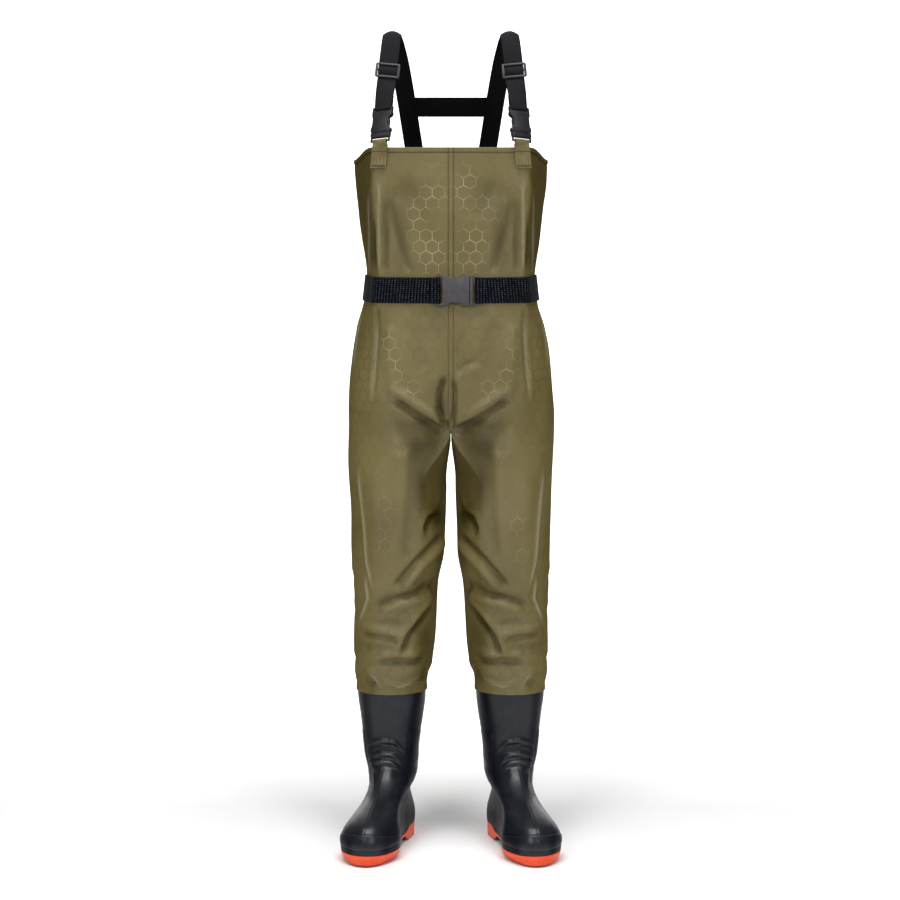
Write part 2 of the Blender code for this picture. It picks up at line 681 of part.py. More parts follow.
def belt_solid(female_bar_x, male_bar_x):
    """Webbing round the waist, its ends looped round the two buckle bars."""
    def end_loop(bar_x, way):
        c = (bar_x, BELT_BAR_Y)
        arc = half_circle(c, BELT_LOOP, math.pi / 2, math.pi * 1.5, 6)
        if way < 0:
            arc = [(2 * bar_x - a, b) for a, b in arc]
        back = [(bar_x + way * 13 * MM, BELT_BAR_Y - BELT_LOOP + 1.2 * MM)]
        return list(reversed(arc + back))
    steps = TORSO_HALF_POINTS
    low, high = [], []

    def body_run(z):
        pts = [torso_band_point(z, k) for k in range(steps + 1)]
        return pts + [Vector((-p.x, p.y, p.z)) for p in reversed(pts[:-1])]
    for z, out in ((BELT_Z0, low), (BELT_Z1, high)):
        run = body_run(z)
        placed = []
        for k in range(1, len(run) - 1):
            a, p, b = run[k - 1], run[k], run[k + 1]
            t = ((p - a).normalized() + (b - p).normalized())
            n = Vector((-t.y, t.x, 0)).normalized() * -1
            seg = (b - p)
            m = Vector((seg.y, -seg.x, 0)).normalized()
            placed.append(p + n * (BELT_LIFT / max(0.5, n.dot(m))))
        first = [Vector((x, y, z)) for x, y in end_loop(male_bar_x, 1)]
        last = [Vector((x, y, z)) for x, y in reversed(end_loop(female_bar_x, -1))]
        out += first
        out += [p for p in placed[:steps - 1] if p.y > 0 or p.x > male_bar_x + 8 * MM]
        out += placed[steps - 1:steps]
        out += [p for p in placed[steps:] if p.y > 0 or p.x < female_bar_x - 8 * MM]
        out += last
    mid = [(a + b) / 2 for a, b in zip(low, high)]
    return ribbon(mid, 0, BELT_THICK, Vector((0, 0, 1)), low, high)


# centre of the suspender webbing, mm: height up the front, then on over the top
STRAP_X = Table(("run", "x"), [
    (1260, 123), (1410, 108), (1455, 103.5), (1468, 99.5), (1654, 68), (1710, 60.5), (1768, 60.5)])
SHOULDER_Z = 1454 * MM
SHOULDER_Y = -15 * MM
SHOULDER_R = 50 * MM
BAR_POINT = (-122.5 * MM, 1260 * MM)      # bar of the male strap buckle, y and z
BUCKLE_TURN = math.radians(28.0)          # strap buckles face outward by this much
STRAP_END_Z = 1152 * MM
STRAP_LOOP = BAR_RADIUS + LOOP_GAP + WEB_THICK / 2
SLIDER_UP = 71 * MM                       # slider centre above the female bar
SLIDER = dict(width=43 * MM, height=27 * MM, thick=3 * MM, bar=3.5 * MM, rail=3.2 * MM)
BACK_PANEL_Y = max(torso_point(1200 * MM, 16).y, torso_point(1147 * MM, 16).y) + 2 * GAP + WEB_THICK / 2


def strap_lines():
    """Front tangent, shoulder arc and back tangent in the Y-Z plane."""
    cy, cz = SHOULDER_Y, SHOULDER_Z - SHOULDER_R
    dy, dz = cy - BAR_POINT[0], cz - BAR_POINT[1]
    dist = math.hypot(dy, dz)
    front = math.atan2(dz, dy) + math.asin((SHOULDER_R - STRAP_LOOP) / dist)
    by, bz = BACK_PANEL_Y, Z_TOP_BACK + 8 * MM
    ey, ez = cy - by, cz - bz
    back = math.atan2(ez, ey) - math.asin(SHOULDER_R / math.hypot(ey, ez))
    return front, back, (by, bz)


FRONT_ANGLE, BACK_ANGLE, BACK_POINT = strap_lines()


def strap_x(y, z, over):
    run = 2 * SHOULDER_Z - z if over else z
    return STRAP_X.at("x", run)


def front_frame(up, turn=0.0):
    """Origin and axes on the front strap line: down, sideways and outward."""
    d = Vector((0, math.cos(FRONT_ANGLE), math.sin(FRONT_ANGLE)))
    base = Vector((STRAP_X.at("x", BAR_POINT[1]), BAR_POINT[0], BAR_POINT[1]))
    top_z = SHOULDER_Z - 46 * MM
    drift = (STRAP_X.at("x", top_z) - base.x) / (top_z - base.z) * d.z
    d = Vector((drift, d.y, d.z)).normalized()
    side = Vector((1, 0, 0))
    side = (side - d * side.dot(d)).normalized()
    outward = d.cross(side)
    if outward.y > 0:
        outward = -outward
    c, s = math.cos(turn), math.sin(turn)
    return base + d * up, -d, side * c - outward * s, outward * c + side * s


def strap_solid(side, buckle_length):
    o, down, turned, out = front_frame(buckle_length, BUCKLE_TURN)
    across = front_frame(buckle_length)[2]
    up = -down

    def at(a, b):
        return o + up * a + out * b
    path = [at(24 * MM, -STRAP_LOOP + 0.6 * MM), at(4 * MM, -STRAP_LOOP)]
    for k in range(7):
        q = -math.pi / 2 + math.pi * k / 6
        path.append(at(-STRAP_LOOP * math.cos(q), STRAP_LOOP * math.sin(q)))
    loop_count = len(path)
    out = front_frame(buckle_length)[3]
    wave = SLIDER["thick"] / 2 + LOOP_GAP + WEB_THICK / 2
    pitch = (SLIDER["height"] - SLIDER["bar"]) / 2
    level = STRAP_LOOP
    flat = SLIDER["bar"] / 2 + 0.9 * MM
    path.append(at(SLIDER_UP - pitch - 16 * MM, level))
    for bar, sign in ((-pitch, -1), (0, 1), (pitch, -1)):
        for e in (-flat, flat):
            path.append(at(SLIDER_UP + bar + e, level + sign * wave))
    front_count = len(path)
    cy, cz = SHOULDER_Y, SHOULDER_Z - SHOULDER_R
    start, stop = FRONT_ANGLE + math.pi / 2, BACK_ANGLE - math.pi / 2 + math.pi
    stop -= math.pi if stop > start else 0
    steps = 10
    for k in range(steps + 1):
        q = lerp(start, stop, k / steps)
        y, z = cy + SHOULDER_R * math.cos(q), cz + SHOULDER_R * math.sin(q)
        path.append(Vector((strap_x(y, z, q < math.pi / 2), y, z)))
    tail = path[-1]
    for k in (1, 2, 3, 4):
        s = k / 4
        y, z = lerp(tail.y, BACK_POINT[0], s), lerp(tail.z, BACK_POINT[1], s)
        path.append(Vector((strap_x(y, z, True), y, z)))
    path.append(Vector((strap_x(0, STRAP_END_Z, True), BACK_PANEL_Y, STRAP_END_Z)))
    turns = [turned] * loop_count + [across] * (front_count - loop_count)
    turns += [Vector((1, 0, 0))] * (len(path) - front_count)
    verts, faces = ribbon(path, WEB_WIDTH, WEB_THICK, turns)
    return mirrored(verts, side), faces, path


def slider_solid(name, side, buckle_length, mat):
    o, down, across, out = front_frame(buckle_length + SLIDER_UP)
    o = o + out * STRAP_LOOP
    frame = flip((o, down, across, out), side)
    h, w, t = SLIDER["height"] / 2, SLIDER["width"] / 2, SLIDER["thick"] / 2
    c = 3 * MM
    outline = [(-h, -w + c), (-h + c, -w), (h - c, -w), (h, -w + c),
               (h, w - c), (h - c, w), (-h + c, w), (-h, w - c)]
    inner, bar = w - SLIDER["rail"], SLIDER["bar"]
    cuts = [("DIFFERENCE", box_verts(frame, (-h + bar, -inner, -1), (-bar / 2, inner, 1)), BOX_FACES),
            ("DIFFERENCE", box_verts(frame, (bar / 2, -inner, -1), (h - bar, inner, 1)), BOX_FACES)]
    combine(name, prism(frame, outline, -t, t), cuts, mat)


def flip(frame, side):
    return tuple(Vector((side * p.x, p.y, p.z)) for p in frame)


def tab_solid(side):
    x = STRAP_X.at("x", BAR_POINT[1])
    y_body = torso_point(1249 * MM, 5).y
    y_back = min(y_body, torso_point(1249 * MM, 4).y, torso_point(1200 * MM, 4).y) - GAP - TAB_THICK / 2
    y_front = y_back - TAB_THICK - GAP
    r = BAR_RADIUS + LOOP_GAP + TAB_THICK / 2
    o, down, turned, out = front_frame(0, BUCKLE_TURN)
    level = Vector((1, 0, 0))
    free_z = Z_TOP_FRONT + 1.5 * MM          # the tab twists only above the bib edge
    spread = 1.5 * MM
    rows = [(Vector((x, y_back, 1213 * MM)), level), (Vector((x, y_back, free_z)), level)]
    near, far = rows[-1][0], o + down * (4.5 * MM) - out * spread
    rows += [(lerp(near, far, k / 3), lerp(level, turned, k / 3)) for k in (1, 2, 3)]
    for k in range(9):
        q = lerp(-0.10 * math.pi, 1.10 * math.pi, k / 8)
        rows.append((o - out * (r * math.cos(q)) - down * (r * math.sin(q)), turned))
    near, far = o + down * (4.5 * MM) + out * spread, Vector((x, y_back - 3.2 * MM, free_z))
    rows += [(lerp(near, far, k / 3), lerp(turned, level, k / 3)) for k in (0, 1, 2, 3)]
    rows += [(Vector((x, y_front, 1238 * MM)), level), (Vector((x, y_front, 1213 * MM)), level)]
    path, turns = [row[0] for row in rows], [row[1] for row in rows]
    verts, faces = ribbon(path, TAB_WIDTH, TAB_THICK, turns, skew=True)
    return mirrored(verts, side), faces


CROSS_Z = 1322 * MM
CROSS_WIDTH = 37 * MM
CROSS_OVER = 8 * MM                       # overlap on each strap's far edge


def cross_solid(path):
    back = path[-6:-1]
    for a, b in zip(back, back[1:]):
        if b.z <= CROSS_Z <= a.z:
            break
    p = lerp(a, b, (CROSS_Z - a.z) / (b.z - a.z))
    d = Vector((0, b.y - a.y, b.z - a.z)).normalized()
    out = Vector((0, -d.z, d.y))
    p = p + out * (WEB_THICK + GAP)
    reach = p.x + CROSS_OVER
    run = [Vector((s * reach, p.y, p.z)) for s in (-1, -0.33, 0.33, 1)]
    return ribbon(run, CROSS_WIDTH, WEB_THICK, -d)


# ---------------------------------------------------------------- assembly
OLIVE = material("olive_cloth", (0.105, 0.088, 0.034), 0.5)
BLACK = material("black_boot", (0.012, 0.013, 0.015), 0.4)
ORANGE = material("orange_sole", (0.83, 0.075, 0.02), 0.5)
FELT = material("dark_insole", (0.05, 0.05, 0.05), 0.9)
WEB = material("black_webbing", (0.010, 0.011, 0.014), 0.8)
HARD = material("dark_buckle", (0.035, 0.032, 0.034), 0.45)

add_object("wader_body", *thicken(*body_surface(), WALL_CLOTH), OLIVE)
for label, sign in (("left", 1), ("right", -1)):
    add_object("boot_upper_" + label, *thicken(*boot_surface(sign), WALL_BOOT), BLACK)
    add_object("sole_" + label, *sole_solid(sign), ORANGE, False)
    add_object("insole_" + label, *insole_solid(sign), FELT)

belt_frame = (Vector((BELT_BUCKLE_X, BELT_BAR_Y, BELT_MID)), Vector((1, 0, 0)),
              Vector((0, 0, 1)), Vector((0, -1, 0)))
reach = side_release("belt_buckle_female", "belt_buckle_male", belt_frame, BELT_BUCKLE, HARD)
add_object("belt", *belt_solid(BELT_BUCKLE_X + BELT_BUCKLE["bar"] / 2, BELT_BUCKLE_X + reach), WEB)

STRAP_REACH = (STRAP_BUCKLE["female_len"] + GAP + STRAP_BUCKLE["base"] + STRAP_BUCKLE["window"])
for label, sign in (("left", 1), ("right", -1)):
    solid = strap_solid(sign, STRAP_REACH)
    add_object("strap_" + label, solid[0], solid[1], WEB)
    o, down, across, out = front_frame(STRAP_REACH, BUCKLE_TURN)
    frame = flip((o - down * (STRAP_BUCKLE["bar"] / 2), down, across, out), sign)
    side_release("strap_buckle_female_" + label, "strap_buckle_male_" + label, frame, STRAP_BUCKLE, HARD)
    slider_solid("slider_" + label, sign, STRAP_REACH, HARD)
    add_object("tab_" + label, *tab_solid(sign), OLIVE)
add_object("cross_strap", *cross_solid(solid[2]), WEB)

# the origin lies under the middle of the whole object
MESHES = [ob.data for ob in bpy.data.objects if ob.type == "MESH"]
SPAN_Y = [v.co.y for mesh in MESHES for v in mesh.vertices]
SHIFT_Y = -(min(SPAN_Y) + max(SPAN_Y)) / 2
for mesh in MESHES:
    for v in mesh.vertices:
        v.co.y += SHIFT_Y
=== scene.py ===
import math

import bpy
import bmesh
import numpy as np
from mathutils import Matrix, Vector


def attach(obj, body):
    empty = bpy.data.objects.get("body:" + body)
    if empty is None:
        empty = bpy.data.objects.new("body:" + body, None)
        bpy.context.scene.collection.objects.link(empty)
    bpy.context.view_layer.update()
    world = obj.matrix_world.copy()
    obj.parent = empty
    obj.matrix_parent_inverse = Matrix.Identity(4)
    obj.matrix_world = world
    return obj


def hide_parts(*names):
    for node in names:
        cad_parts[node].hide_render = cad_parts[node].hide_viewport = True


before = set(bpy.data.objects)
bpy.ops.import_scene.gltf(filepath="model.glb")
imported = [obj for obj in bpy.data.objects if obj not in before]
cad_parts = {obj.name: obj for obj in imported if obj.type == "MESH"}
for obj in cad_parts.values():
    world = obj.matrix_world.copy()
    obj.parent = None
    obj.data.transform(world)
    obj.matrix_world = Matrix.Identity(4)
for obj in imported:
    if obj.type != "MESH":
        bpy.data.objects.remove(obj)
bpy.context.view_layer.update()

MM = 0.001
SHIFT_Y = 0.055387            # the part's own shift of its sections to the middle
PX = 1.8 * MM                 # one photo pixel on the garment
SIDES = (("left", 1), ("right", -1))


# ------------------------------------------------------------------ tables
class Curve:
    """Smooth reading of a column between rows."""

    def __init__(self, xs, ys):
        self.x, self.y = np.array(xs, float), np.array(ys, float)
        d = np.diff(self.y) / np.diff(self.x)
        t = np.zeros(len(self.x))
        t[0], t[-1] = d[0], d[-1]
        a, b = d[:-1], d[1:]
        ok = a * b > 0
        t[1:-1][ok] = 2 * a[ok] * b[ok] / (a + b)[ok]
        self.t = t

    def __call__(self, q):
        q = np.clip(np.asarray(q, float), self.x[0], self.x[-1])
        k = np.clip(np.searchsorted(self.x, q, side="right") - 1, 0, len(self.x) - 2)
        h = self.x[k + 1] - self.x[k]
        s = (q - self.x[k]) / h
        return ((2 * s ** 3 - 3 * s ** 2 + 1) * self.y[k] + (s ** 3 - 2 * s ** 2 + s) * self.t[k] * h
                + (-2 * s ** 3 + 3 * s ** 2) * self.y[k + 1] + (s ** 3 - s ** 2) * self.t[k + 1] * h)


def table(columns, rows, scale=MM):
    return {c: Curve([r[0] * scale for r in rows], [r[i] * scale for r in rows])
            for i, c in enumerate(columns)}


TORSO = table(
    ("z", "half_width", "front", "back", "fold", "corner_x", "side_y", "cleft"),
    [
        (752, 185.5, 117, 126, 30, 128, 5, 330),
        (780, 186.3, 119, 129, 50, 128, 5, 130),
        (823, 185.5, 121, 130, 120, 129, 8, 40),
        (877, 182.5, 121, 127, 250, 130, 10, 10),
        (930, 174.0, 119, 121, 450, 130, 12, 0),
        (972, 160.5, 116, 115, 700, 128, 14, 0),
        (1020, 153.5, 115, 113, 800, 127, 16, 0),
        (1093, 161.0, 117, 116, 930, 133, 18, 0),
        (1147, 166.5, 118, 117, 1000, 137, 20, 0),
        (1200, 172.5, 118, 117, 1000, 139, 22, 0),
        (1249, 174.0, 118, 116, 1000, 139, 24, 0),
    ])
LEG = table(
    ("z", "inner_x", "outer_x", "front", "back"),
    [
        (330, 33, 173.0, 78, 77), (365, 29, 175.0, 83, 81), (420, 25, 175.0, 88, 85),
        (470, 22, 177.0, 92, 89), (530, 11, 179.0, 97, 95), (600, 9, 180.5, 102, 101),
        (655, 9, 182.5, 107, 108), (752, 2, 185.0, 112, 118),
    ])
PLAN = table(
    ("angle", "half_width", "centre"),
    [
        (0, 0, 0), (15, 20.5, 0), (30, 32.0, 0), (45, 36.8, 0), (60, 37.0, 1),
        (75, 36.0, 2), (90, 38.8, 2.2), (105, 47.5, 2.5), (120, 51.5, 1),
        (135, 45.5, 0.5), (150, 33.5, -1.5), (165, 17.8, -3), (180, 0, -4),
    ])
UPPER = table(
    ("ring", "back_t", "back_z", "front_t", "front_z", "half_width", "foot", "slope", "lean"),
    [
        (0, 0.6, 27, 299.0, 20.5, 51.2, 1000, 0, 0), (1, -1.5, 42, 300.0, 36, 53.0, 1000, 0, 0),
        (2, -0.5, 55, 296.0, 51, 51.5, 950, 60, 0), (3, 1.5, 66, 285.0, 64, 48.0, 850, 160, 0),
        (4, 4.5, 77, 264.0, 75, 44.5, 700, 280, 0), (5, 8.0, 88, 233.0, 86, 42.0, 450, 400, 0.5),
        (6, 9.3, 98, 200.0, 97, 41.9, 250, 470, 1.5), (7, 9.4, 109, 170.0, 112, 43.4, 100, 420, 3),
        (8, 8.2, 122, 146.0, 130, 45.4, 0, 260, 3), (9, 6.6, 142, 131.0, 150, 47.6, 0, 100, 1.5),
        (10, 5.0, 162, 123.0, 168, 48.7, 0, 0, 0.5), (11, 1.0, 196, 121.5, 200, 52.3, 0, 0, 0),
        (12, -4.0, 230, 124.0, 232, 57.0, 0, 0, 0), (13, -8.0, 262, 127.0, 262, 61.0, 0, 0, 0),
        (14, -9.5, 300, 128.5, 300, 62.5, 0, 0, 0),
    ])
SOLE = table(
    ("t", "top", "bottom"),
    [
        (0, 27, 0), (70, 26, 0), (88, 21, 4), (100, 17.5, 11), (135, 17.5, 11),
        (150, 18.5, 4), (165, 19.5, 0), (235, 20, 0), (270, 20, 0.4), (300, 20.5, 2.5),
    ])
Z_TOP_FRONT, Z_TOP_SIDE, Z_TOP_BACK, Z_TOP_BEND = 1.249, 1.227, 1.196, 1.090
Z_CROTCH, CROTCH_SAG, Z_LEG_FULL, Z_HEM = 0.752, 0.012, 0.655, 0.274
FOOT_LENGTH, BOOT_AXIS_X, BOOT_AXIS_T, TOE_OUT = 0.300, 0.107, 0.0595, math.radians(12.0)
PLAN_MAX = 51.5 * MM


def smooth(e0, e1, x):
    s = np.clip((np.asarray(x, float) - e0) / (e1 - e0), 0, 1)
    return s * s * (3 - 2 * s)


def mix(a, b, s):
    return a + (b - a) * s


def spow(v, p):
    return np.sign(v) * np.abs(v) ** p


# ------------------------------------------------------------------ sections
def torso_raw(z, s):
    a, front, back = (TORSO[c](z) for c in ("half_width", "front", "back"))
    fold, cleft = TORSO["fold"](z), TORSO["cleft"](z)
    cx, sy = TORSO["corner_x"](z), TORSO["side_y"](z)
    q = np.pi * s / 16
    p = 2 / 2.35
    rx = a * np.abs(np.sin(q)) ** p
    ry = -np.where(np.cos(q) > 0, front, back) * spow(np.cos(q), p)
    u0 = np.clip(s / 6, 0, 1)
    u1 = np.clip((s - 6) / 4, 0, 1)
    u2 = 0.5 * np.pi * np.clip((s - 10) / 6, 0, 1)
    fx = np.where(s <= 6, cx * u0, np.where(s <= 10, mix(cx, a, u1 ** 0.85),
                                            a * np.abs(np.cos(u2)) ** (2 / 2.6)))
    fy = np.where(s <= 6, -front + 2 * MM * u0 ** 2,
                  np.where(s <= 10, mix(-front + 2 * MM, sy, u1),
                           sy + (back - sy) * np.abs(np.sin(u2)) ** (2 / 2.6)))
    x, y = mix(rx, fx, fold), mix(ry, fy, fold)
    return x, y * (1 - cleft * np.exp(-(x / 0.048) ** 2))


def torso(z, s):
    """Rounded section of bib and hips; s from 0 front centre to 16 back centre."""
    x, y = 0.0, 0.0
    taps = ((-0.42, 1), (-0.21, 2), (0, 2), (0.21, 2), (0.42, 1))
    for d, w in taps:
        q = s + d
        flip = np.where((q < 0) | (q > 16), -1.0, 1.0)
        q = np.where(q < 0, -q, np.where(q > 16, 32 - q, q))
        px, py = torso_raw(z, q)
        x, y = x + w * flip * px, y + w * py
    return x / 8, y / 8


def torso_height(z, s):
    share = s / 16
    edge = mix(Z_TOP_FRONT, Z_TOP_SIDE, smooth(0.36, 0.62, share))
    edge = mix(edge, Z_TOP_BACK, smooth(0.62, 1.0, share))
    return np.where(z > Z_TOP_BEND,
                    Z_TOP_BEND + (z - Z_TOP_BEND) / (Z_TOP_FRONT - Z_TOP_BEND) * (edge - Z_TOP_BEND), z)


def boot_place(s, t, z):
    d = t - BOOT_AXIS_T
    c, n = math.cos(TOE_OUT), math.sin(TOE_OUT)
    return np.stack([BOOT_AXIS_X + s * c + d * n, s * n - d * c, z + 0 * s], -1)


def leg(z, i):
    """Outline of the +X leg; i 0 to 16 round the outside, 16 to 24 the inside."""
    q = np.radians(-30 + 15 * i)
    zz = np.maximum(z, 0.330)
    x0, x1, f, b = (LEG[c](zz) for c in ("inner_x", "outer_x", "front", "back"))
    p = 2 / 2.2
    sx, cx = np.sin(q), np.cos(q)
    x = (x0 + x1) / 2 + (x1 - x0) / 2 * spow(sx, p)
    y = -np.where(cx > 0, f, b) * spow(cx, p)
    seat = smooth(0.330, 0.300, z)
    ring = (13 + (z - 0.262) / 0.038) * MM
    bt, ft = UPPER["back_t"](ring), UPPER["front_t"](ring)
    grow = 1.7 * MM
    ow, ol = UPPER["half_width"](ring) + grow, (ft - bt) / 2 + grow
    on = boot_place(ow * sx, (ft + bt) / 2 + ol * cx, z)
    x, y = mix(x, on[..., 0], seat), mix(y, on[..., 1], seat)
    u = np.clip((i - 16) / 8, 0, 1)
    tx, ty = torso(np.full_like(x, Z_CROTCH), np.clip(i, 0, 16))
    f0, b0 = torso(np.array([Z_CROTCH]), np.array([0.0]))[1][0], torso(np.array([Z_CROTCH]), np.array([16.0]))[1][0]
    tx = np.where(i > 16, 0.0, tx)
    ty = np.where(i > 16, mix(b0, f0, u), ty)
    k = smooth(Z_CROTCH, Z_LEG_FULL, z)
    drop = np.where(i > 16, CROTCH_SAG * np.sin(np.pi * u), 0) * smooth(0.685, Z_CROTCH, z)
    return np.stack([mix(tx, x, k), mix(ty, y, k), z - drop], -1)


# ------------------------------------------------------------------ mesh kit
def vertex_normals(v, f):
    a, b, c, d = (v[f[:, k]] for k in range(4))
    n = np.cross(c - a, d - b)
    out = np.zeros_like(v)
    for k in range(4):
        np.add.at(out, f[:, k], n)
    return out / np.maximum(np.linalg.norm(out, axis=1, keepdims=True), 1e-12)


def grid_faces(rows, cols, wrap, base=0, flip=False):
    r, c = np.meshgrid(np.arange(rows - 1), np.arange(cols if wrap else cols - 1), indexing="ij")
    n = (c + 1) % cols
    q = np.stack([r * cols + c, (r + 1) * cols + c, (r + 1) * cols + n, r * cols + n], -1).reshape(-1, 4) + base
    return q[:, ::-1] if flip else q


def make(name, verts, faces, mat, smooth_shade=True, uv=None, floats=None):
    mesh = bpy.data.meshes.new(name)
    faces = [tuple(int(k) for k in q) for q in faces]
    mesh.from_pydata(np.asarray(verts, float).tolist(), [], faces)
    mesh.polygons.foreach_set("use_smooth", [smooth_shade] * len(mesh.polygons))
    if uv is not None:
        layer = mesh.uv_layers.new(name="UVMap")
        loops = np.zeros(len(mesh.loops), int)
        mesh.loops.foreach_get("vertex_index", loops)
        layer.data.foreach_set("uv", np.asarray(uv, float)[loops].ravel())
    for key, vals in (floats or {}).items():
        att = mesh.attributes.new(key, "FLOAT", "POINT")
        att.data.foreach_set("value", np.asarray(vals, float))
    mesh.materials.append(mat)
    mesh.update()
    ob = bpy.data.objects.new(name, mesh)
    bpy.context.scene.collection.objects.link(ob)
    return ob


def place(ob, node):
    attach(ob, "root")
    if node:
        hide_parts(node)
    return ob


# heights on the front of the garment that photo rows meet: row, mm
ROW_HEIGHTS = ((147.5, 1249), (290, 1000), (430, 752), (695.5, 274), (866, 0))


def px(points):
    """Photo pixels to x and z on the front of the garment."""
    rows, heights = zip(*ROW_HEIGHTS)
    return [((a - 450) * PX * 0.98, float(np.interp(b, rows, heights)) * MM) for a, b in points]


def stroke(x, z, pts, width, depth, ridge=0.0, off=0.0, ridge_width=None, fade=0.018):
    """A soft trough along a line; a ridge may run beside it on its left."""
    best = np.full(x.shape, 1e9)
    side = np.zeros(x.shape)
    along = np.zeros(x.shape)
    start = 0.0
    for (ax, az), (bx, bz) in zip(pts, pts[1:]):
        dx, dz = bx - ax, bz - az
        length = math.hypot(dx, dz)
        t = np.clip(((x - ax) * dx + (z - az) * dz) / length ** 2, 0, 1)
        ex, ez = x - ax - t * dx, z - az - t * dz
        d = np.hypot(ex, ez)
        near = d < best
        best = np.where(near, d, best)
        side = np.where(near, np.sign(dx * ez - dz * ex) * d, side)
        along = np.where(near, start + t * length, along)
        start += length
    ends = smooth(0, fade, along) * smooth(0, fade, start - along)
    out = depth * np.exp(-(best / width) ** 2)
    if ridge:
        out = out + ridge * np.exp(-((side - off) / (ridge_width or width)) ** 2) * np.exp(-(np.maximum(best - abs(off) * 2.2, 0) / width) ** 2)
    return out * (0.15 + 0.85 * ends)


# ------------------------------------------------------------------ materials
def lin(r, g, b):
    def one(c):
        c /= 255
        return c / 12.92 if c <= 0.04045 else ((c + 0.055) / 1.055) ** 2.4
    return one(r), one(g), one(b), 1.0


class Mat:
    """A material and short ways to add its nodes."""

    def __init__(self, name, roughness=0.5, specular=0.5, coat=0.0, coat_roughness=0.1):
        self.m = bpy.data.materials.new(name)
        self.m.use_nodes = True
        self.t = self.m.node_tree
        self.b = self.t.nodes["Principled BSDF"]
        self.b.inputs["Roughness"].default_value = roughness
        self.b.inputs["Specular IOR Level"].default_value = specular
        self.b.inputs["Coat Weight"].default_value = coat
        self.b.inputs["Coat Roughness"].default_value = coat_roughness

    def put(self, socket, value):
        if isinstance(value, bpy.types.NodeSocket):
            self.t.links.new(value, socket)
        else:
            socket.default_value = value

    def math(self, op, a, b=0.0, c=0.0, clamp=False):
        n = self.t.nodes.new("ShaderNodeMath")
        n.operation, n.use_clamp = op, clamp
        for s, v in zip(n.inputs, (a, b, c)):
            self.put(s, v)
        return n.outputs[0]

    def vec(self, op, a, b=(0, 0, 0)):
        n = self.t.nodes.new("ShaderNodeVectorMath")
        n.operation = op
        self.put(n.inputs[0], a)
        if op not in ("ABSOLUTE", "LENGTH"):
            self.put(n.inputs[1], b)
        return n.outputs["Value"] if op in ("DOT_PRODUCT", "LENGTH", "DISTANCE") else n.outputs["Vector"]

    def ramp(self, v, a0, a1, b0=0.0, b1=1.0):
        n = self.t.nodes.new("ShaderNodeMapRange")
        n.interpolation_type = "SMOOTHSTEP"
        for s, q in zip(n.inputs[:5], (v, a0, a1, b0, b1)):
            self.put(s, q)
        return n.outputs[0]

    def mixc(self, f, a, b, blend="MIX"):
        n = self.t.nodes.new("ShaderNodeMix")
        n.data_type, n.blend_type = "RGBA", blend
        self.put(n.inputs[0], f)
        self.put(n.inputs[6], a)
        self.put(n.inputs[7], b)
        return n.outputs[2]

    def mixv(self, f, a, b):
        n = self.t.nodes.new("ShaderNodeMix")
        n.data_type = "VECTOR"
        self.put(n.inputs[0], f)
        self.put(n.inputs[4], a)
        self.put(n.inputs[5], b)
        return n.outputs[1]

    def noise(self, scale, detail=3.0, rough=0.5, vec=None, stretch=None):
        n = self.t.nodes.new("ShaderNodeTexNoise")
        v = vec if vec is not None else self.pos()
        if stretch is not None:
            v = self.vec("MULTIPLY", v, stretch)
        self.put(n.inputs["Vector"], v)
        n.inputs["Scale"].default_value = scale
        n.inputs["Detail"].default_value = detail
        n.inputs["Roughness"].default_value = rough
        return n.outputs[0]

    def pos(self):
        if not hasattr(self, "_pos"):
            self._pos = self.t.nodes.new("ShaderNodeTexCoord").outputs["Object"]
        return self._pos

    def uv(self):
        if not hasattr(self, "_uv"):
            n = self.t.nodes.new("ShaderNodeUVMap")
            n.uv_map = "UVMap"
            self._uv = n.outputs[0]
        return self._uv

    def split(self, v):
        n = self.t.nodes.new("ShaderNodeSeparateXYZ")
        self.put(n.inputs[0], v)
        return n.outputs

    def att(self, name):
        n = self.t.nodes.new("ShaderNodeAttribute")
        n.attribute_name = name
        return n.outputs["Fac"]

    def bump(self, height, strength, distance, after=None):
        n = self.t.nodes.new("ShaderNodeBump")
        n.inputs["Strength"].default_value = strength
        n.inputs["Distance"].default_value = distance
        self.put(n.inputs["Height"], height)
        if after is not None:
            self.put(n.inputs["Normal"], after)
        return n.outputs[0]

    def set(self, **kw):
        for k, v in kw.items():
            self.put(self.b.inputs[k.replace("_", " ")], v)
        return self.m


HEX = 21.8 * MM                # honeycomb, flat to flat


def hex_line(m, width=0.036):
    """1 on the honeycomb's lines, 0 inside the cells, from the cloth's own lengths."""
    p = m.vec("ADD", m.vec("MULTIPLY", m.uv(), (1 / HEX, 1 / HEX, 0)), (100.0, 100 * 1.7320508, 0))
    r, h = (1.0, 1.7320508, 1.0), (0.5, 0.8660254, 0.0)
    a = m.vec("SUBTRACT", m.vec("MODULO", p, r), h)
    b = m.vec("SUBTRACT", m.vec("MODULO", m.vec("ADD", p, h), r), h)
    near = m.math("LESS_THAN", m.vec("DOT_PRODUCT", a, a), m.vec("DOT_PRODUCT", b, b))
    g = m.vec("ABSOLUTE", m.mixv(near, b, a))
    d = m.math("MAXIMUM", m.vec("DOT_PRODUCT", g, h), m.split(g)[0])
    return m.ramp(d, 0.5 - width, 0.5 - width * 0.45)


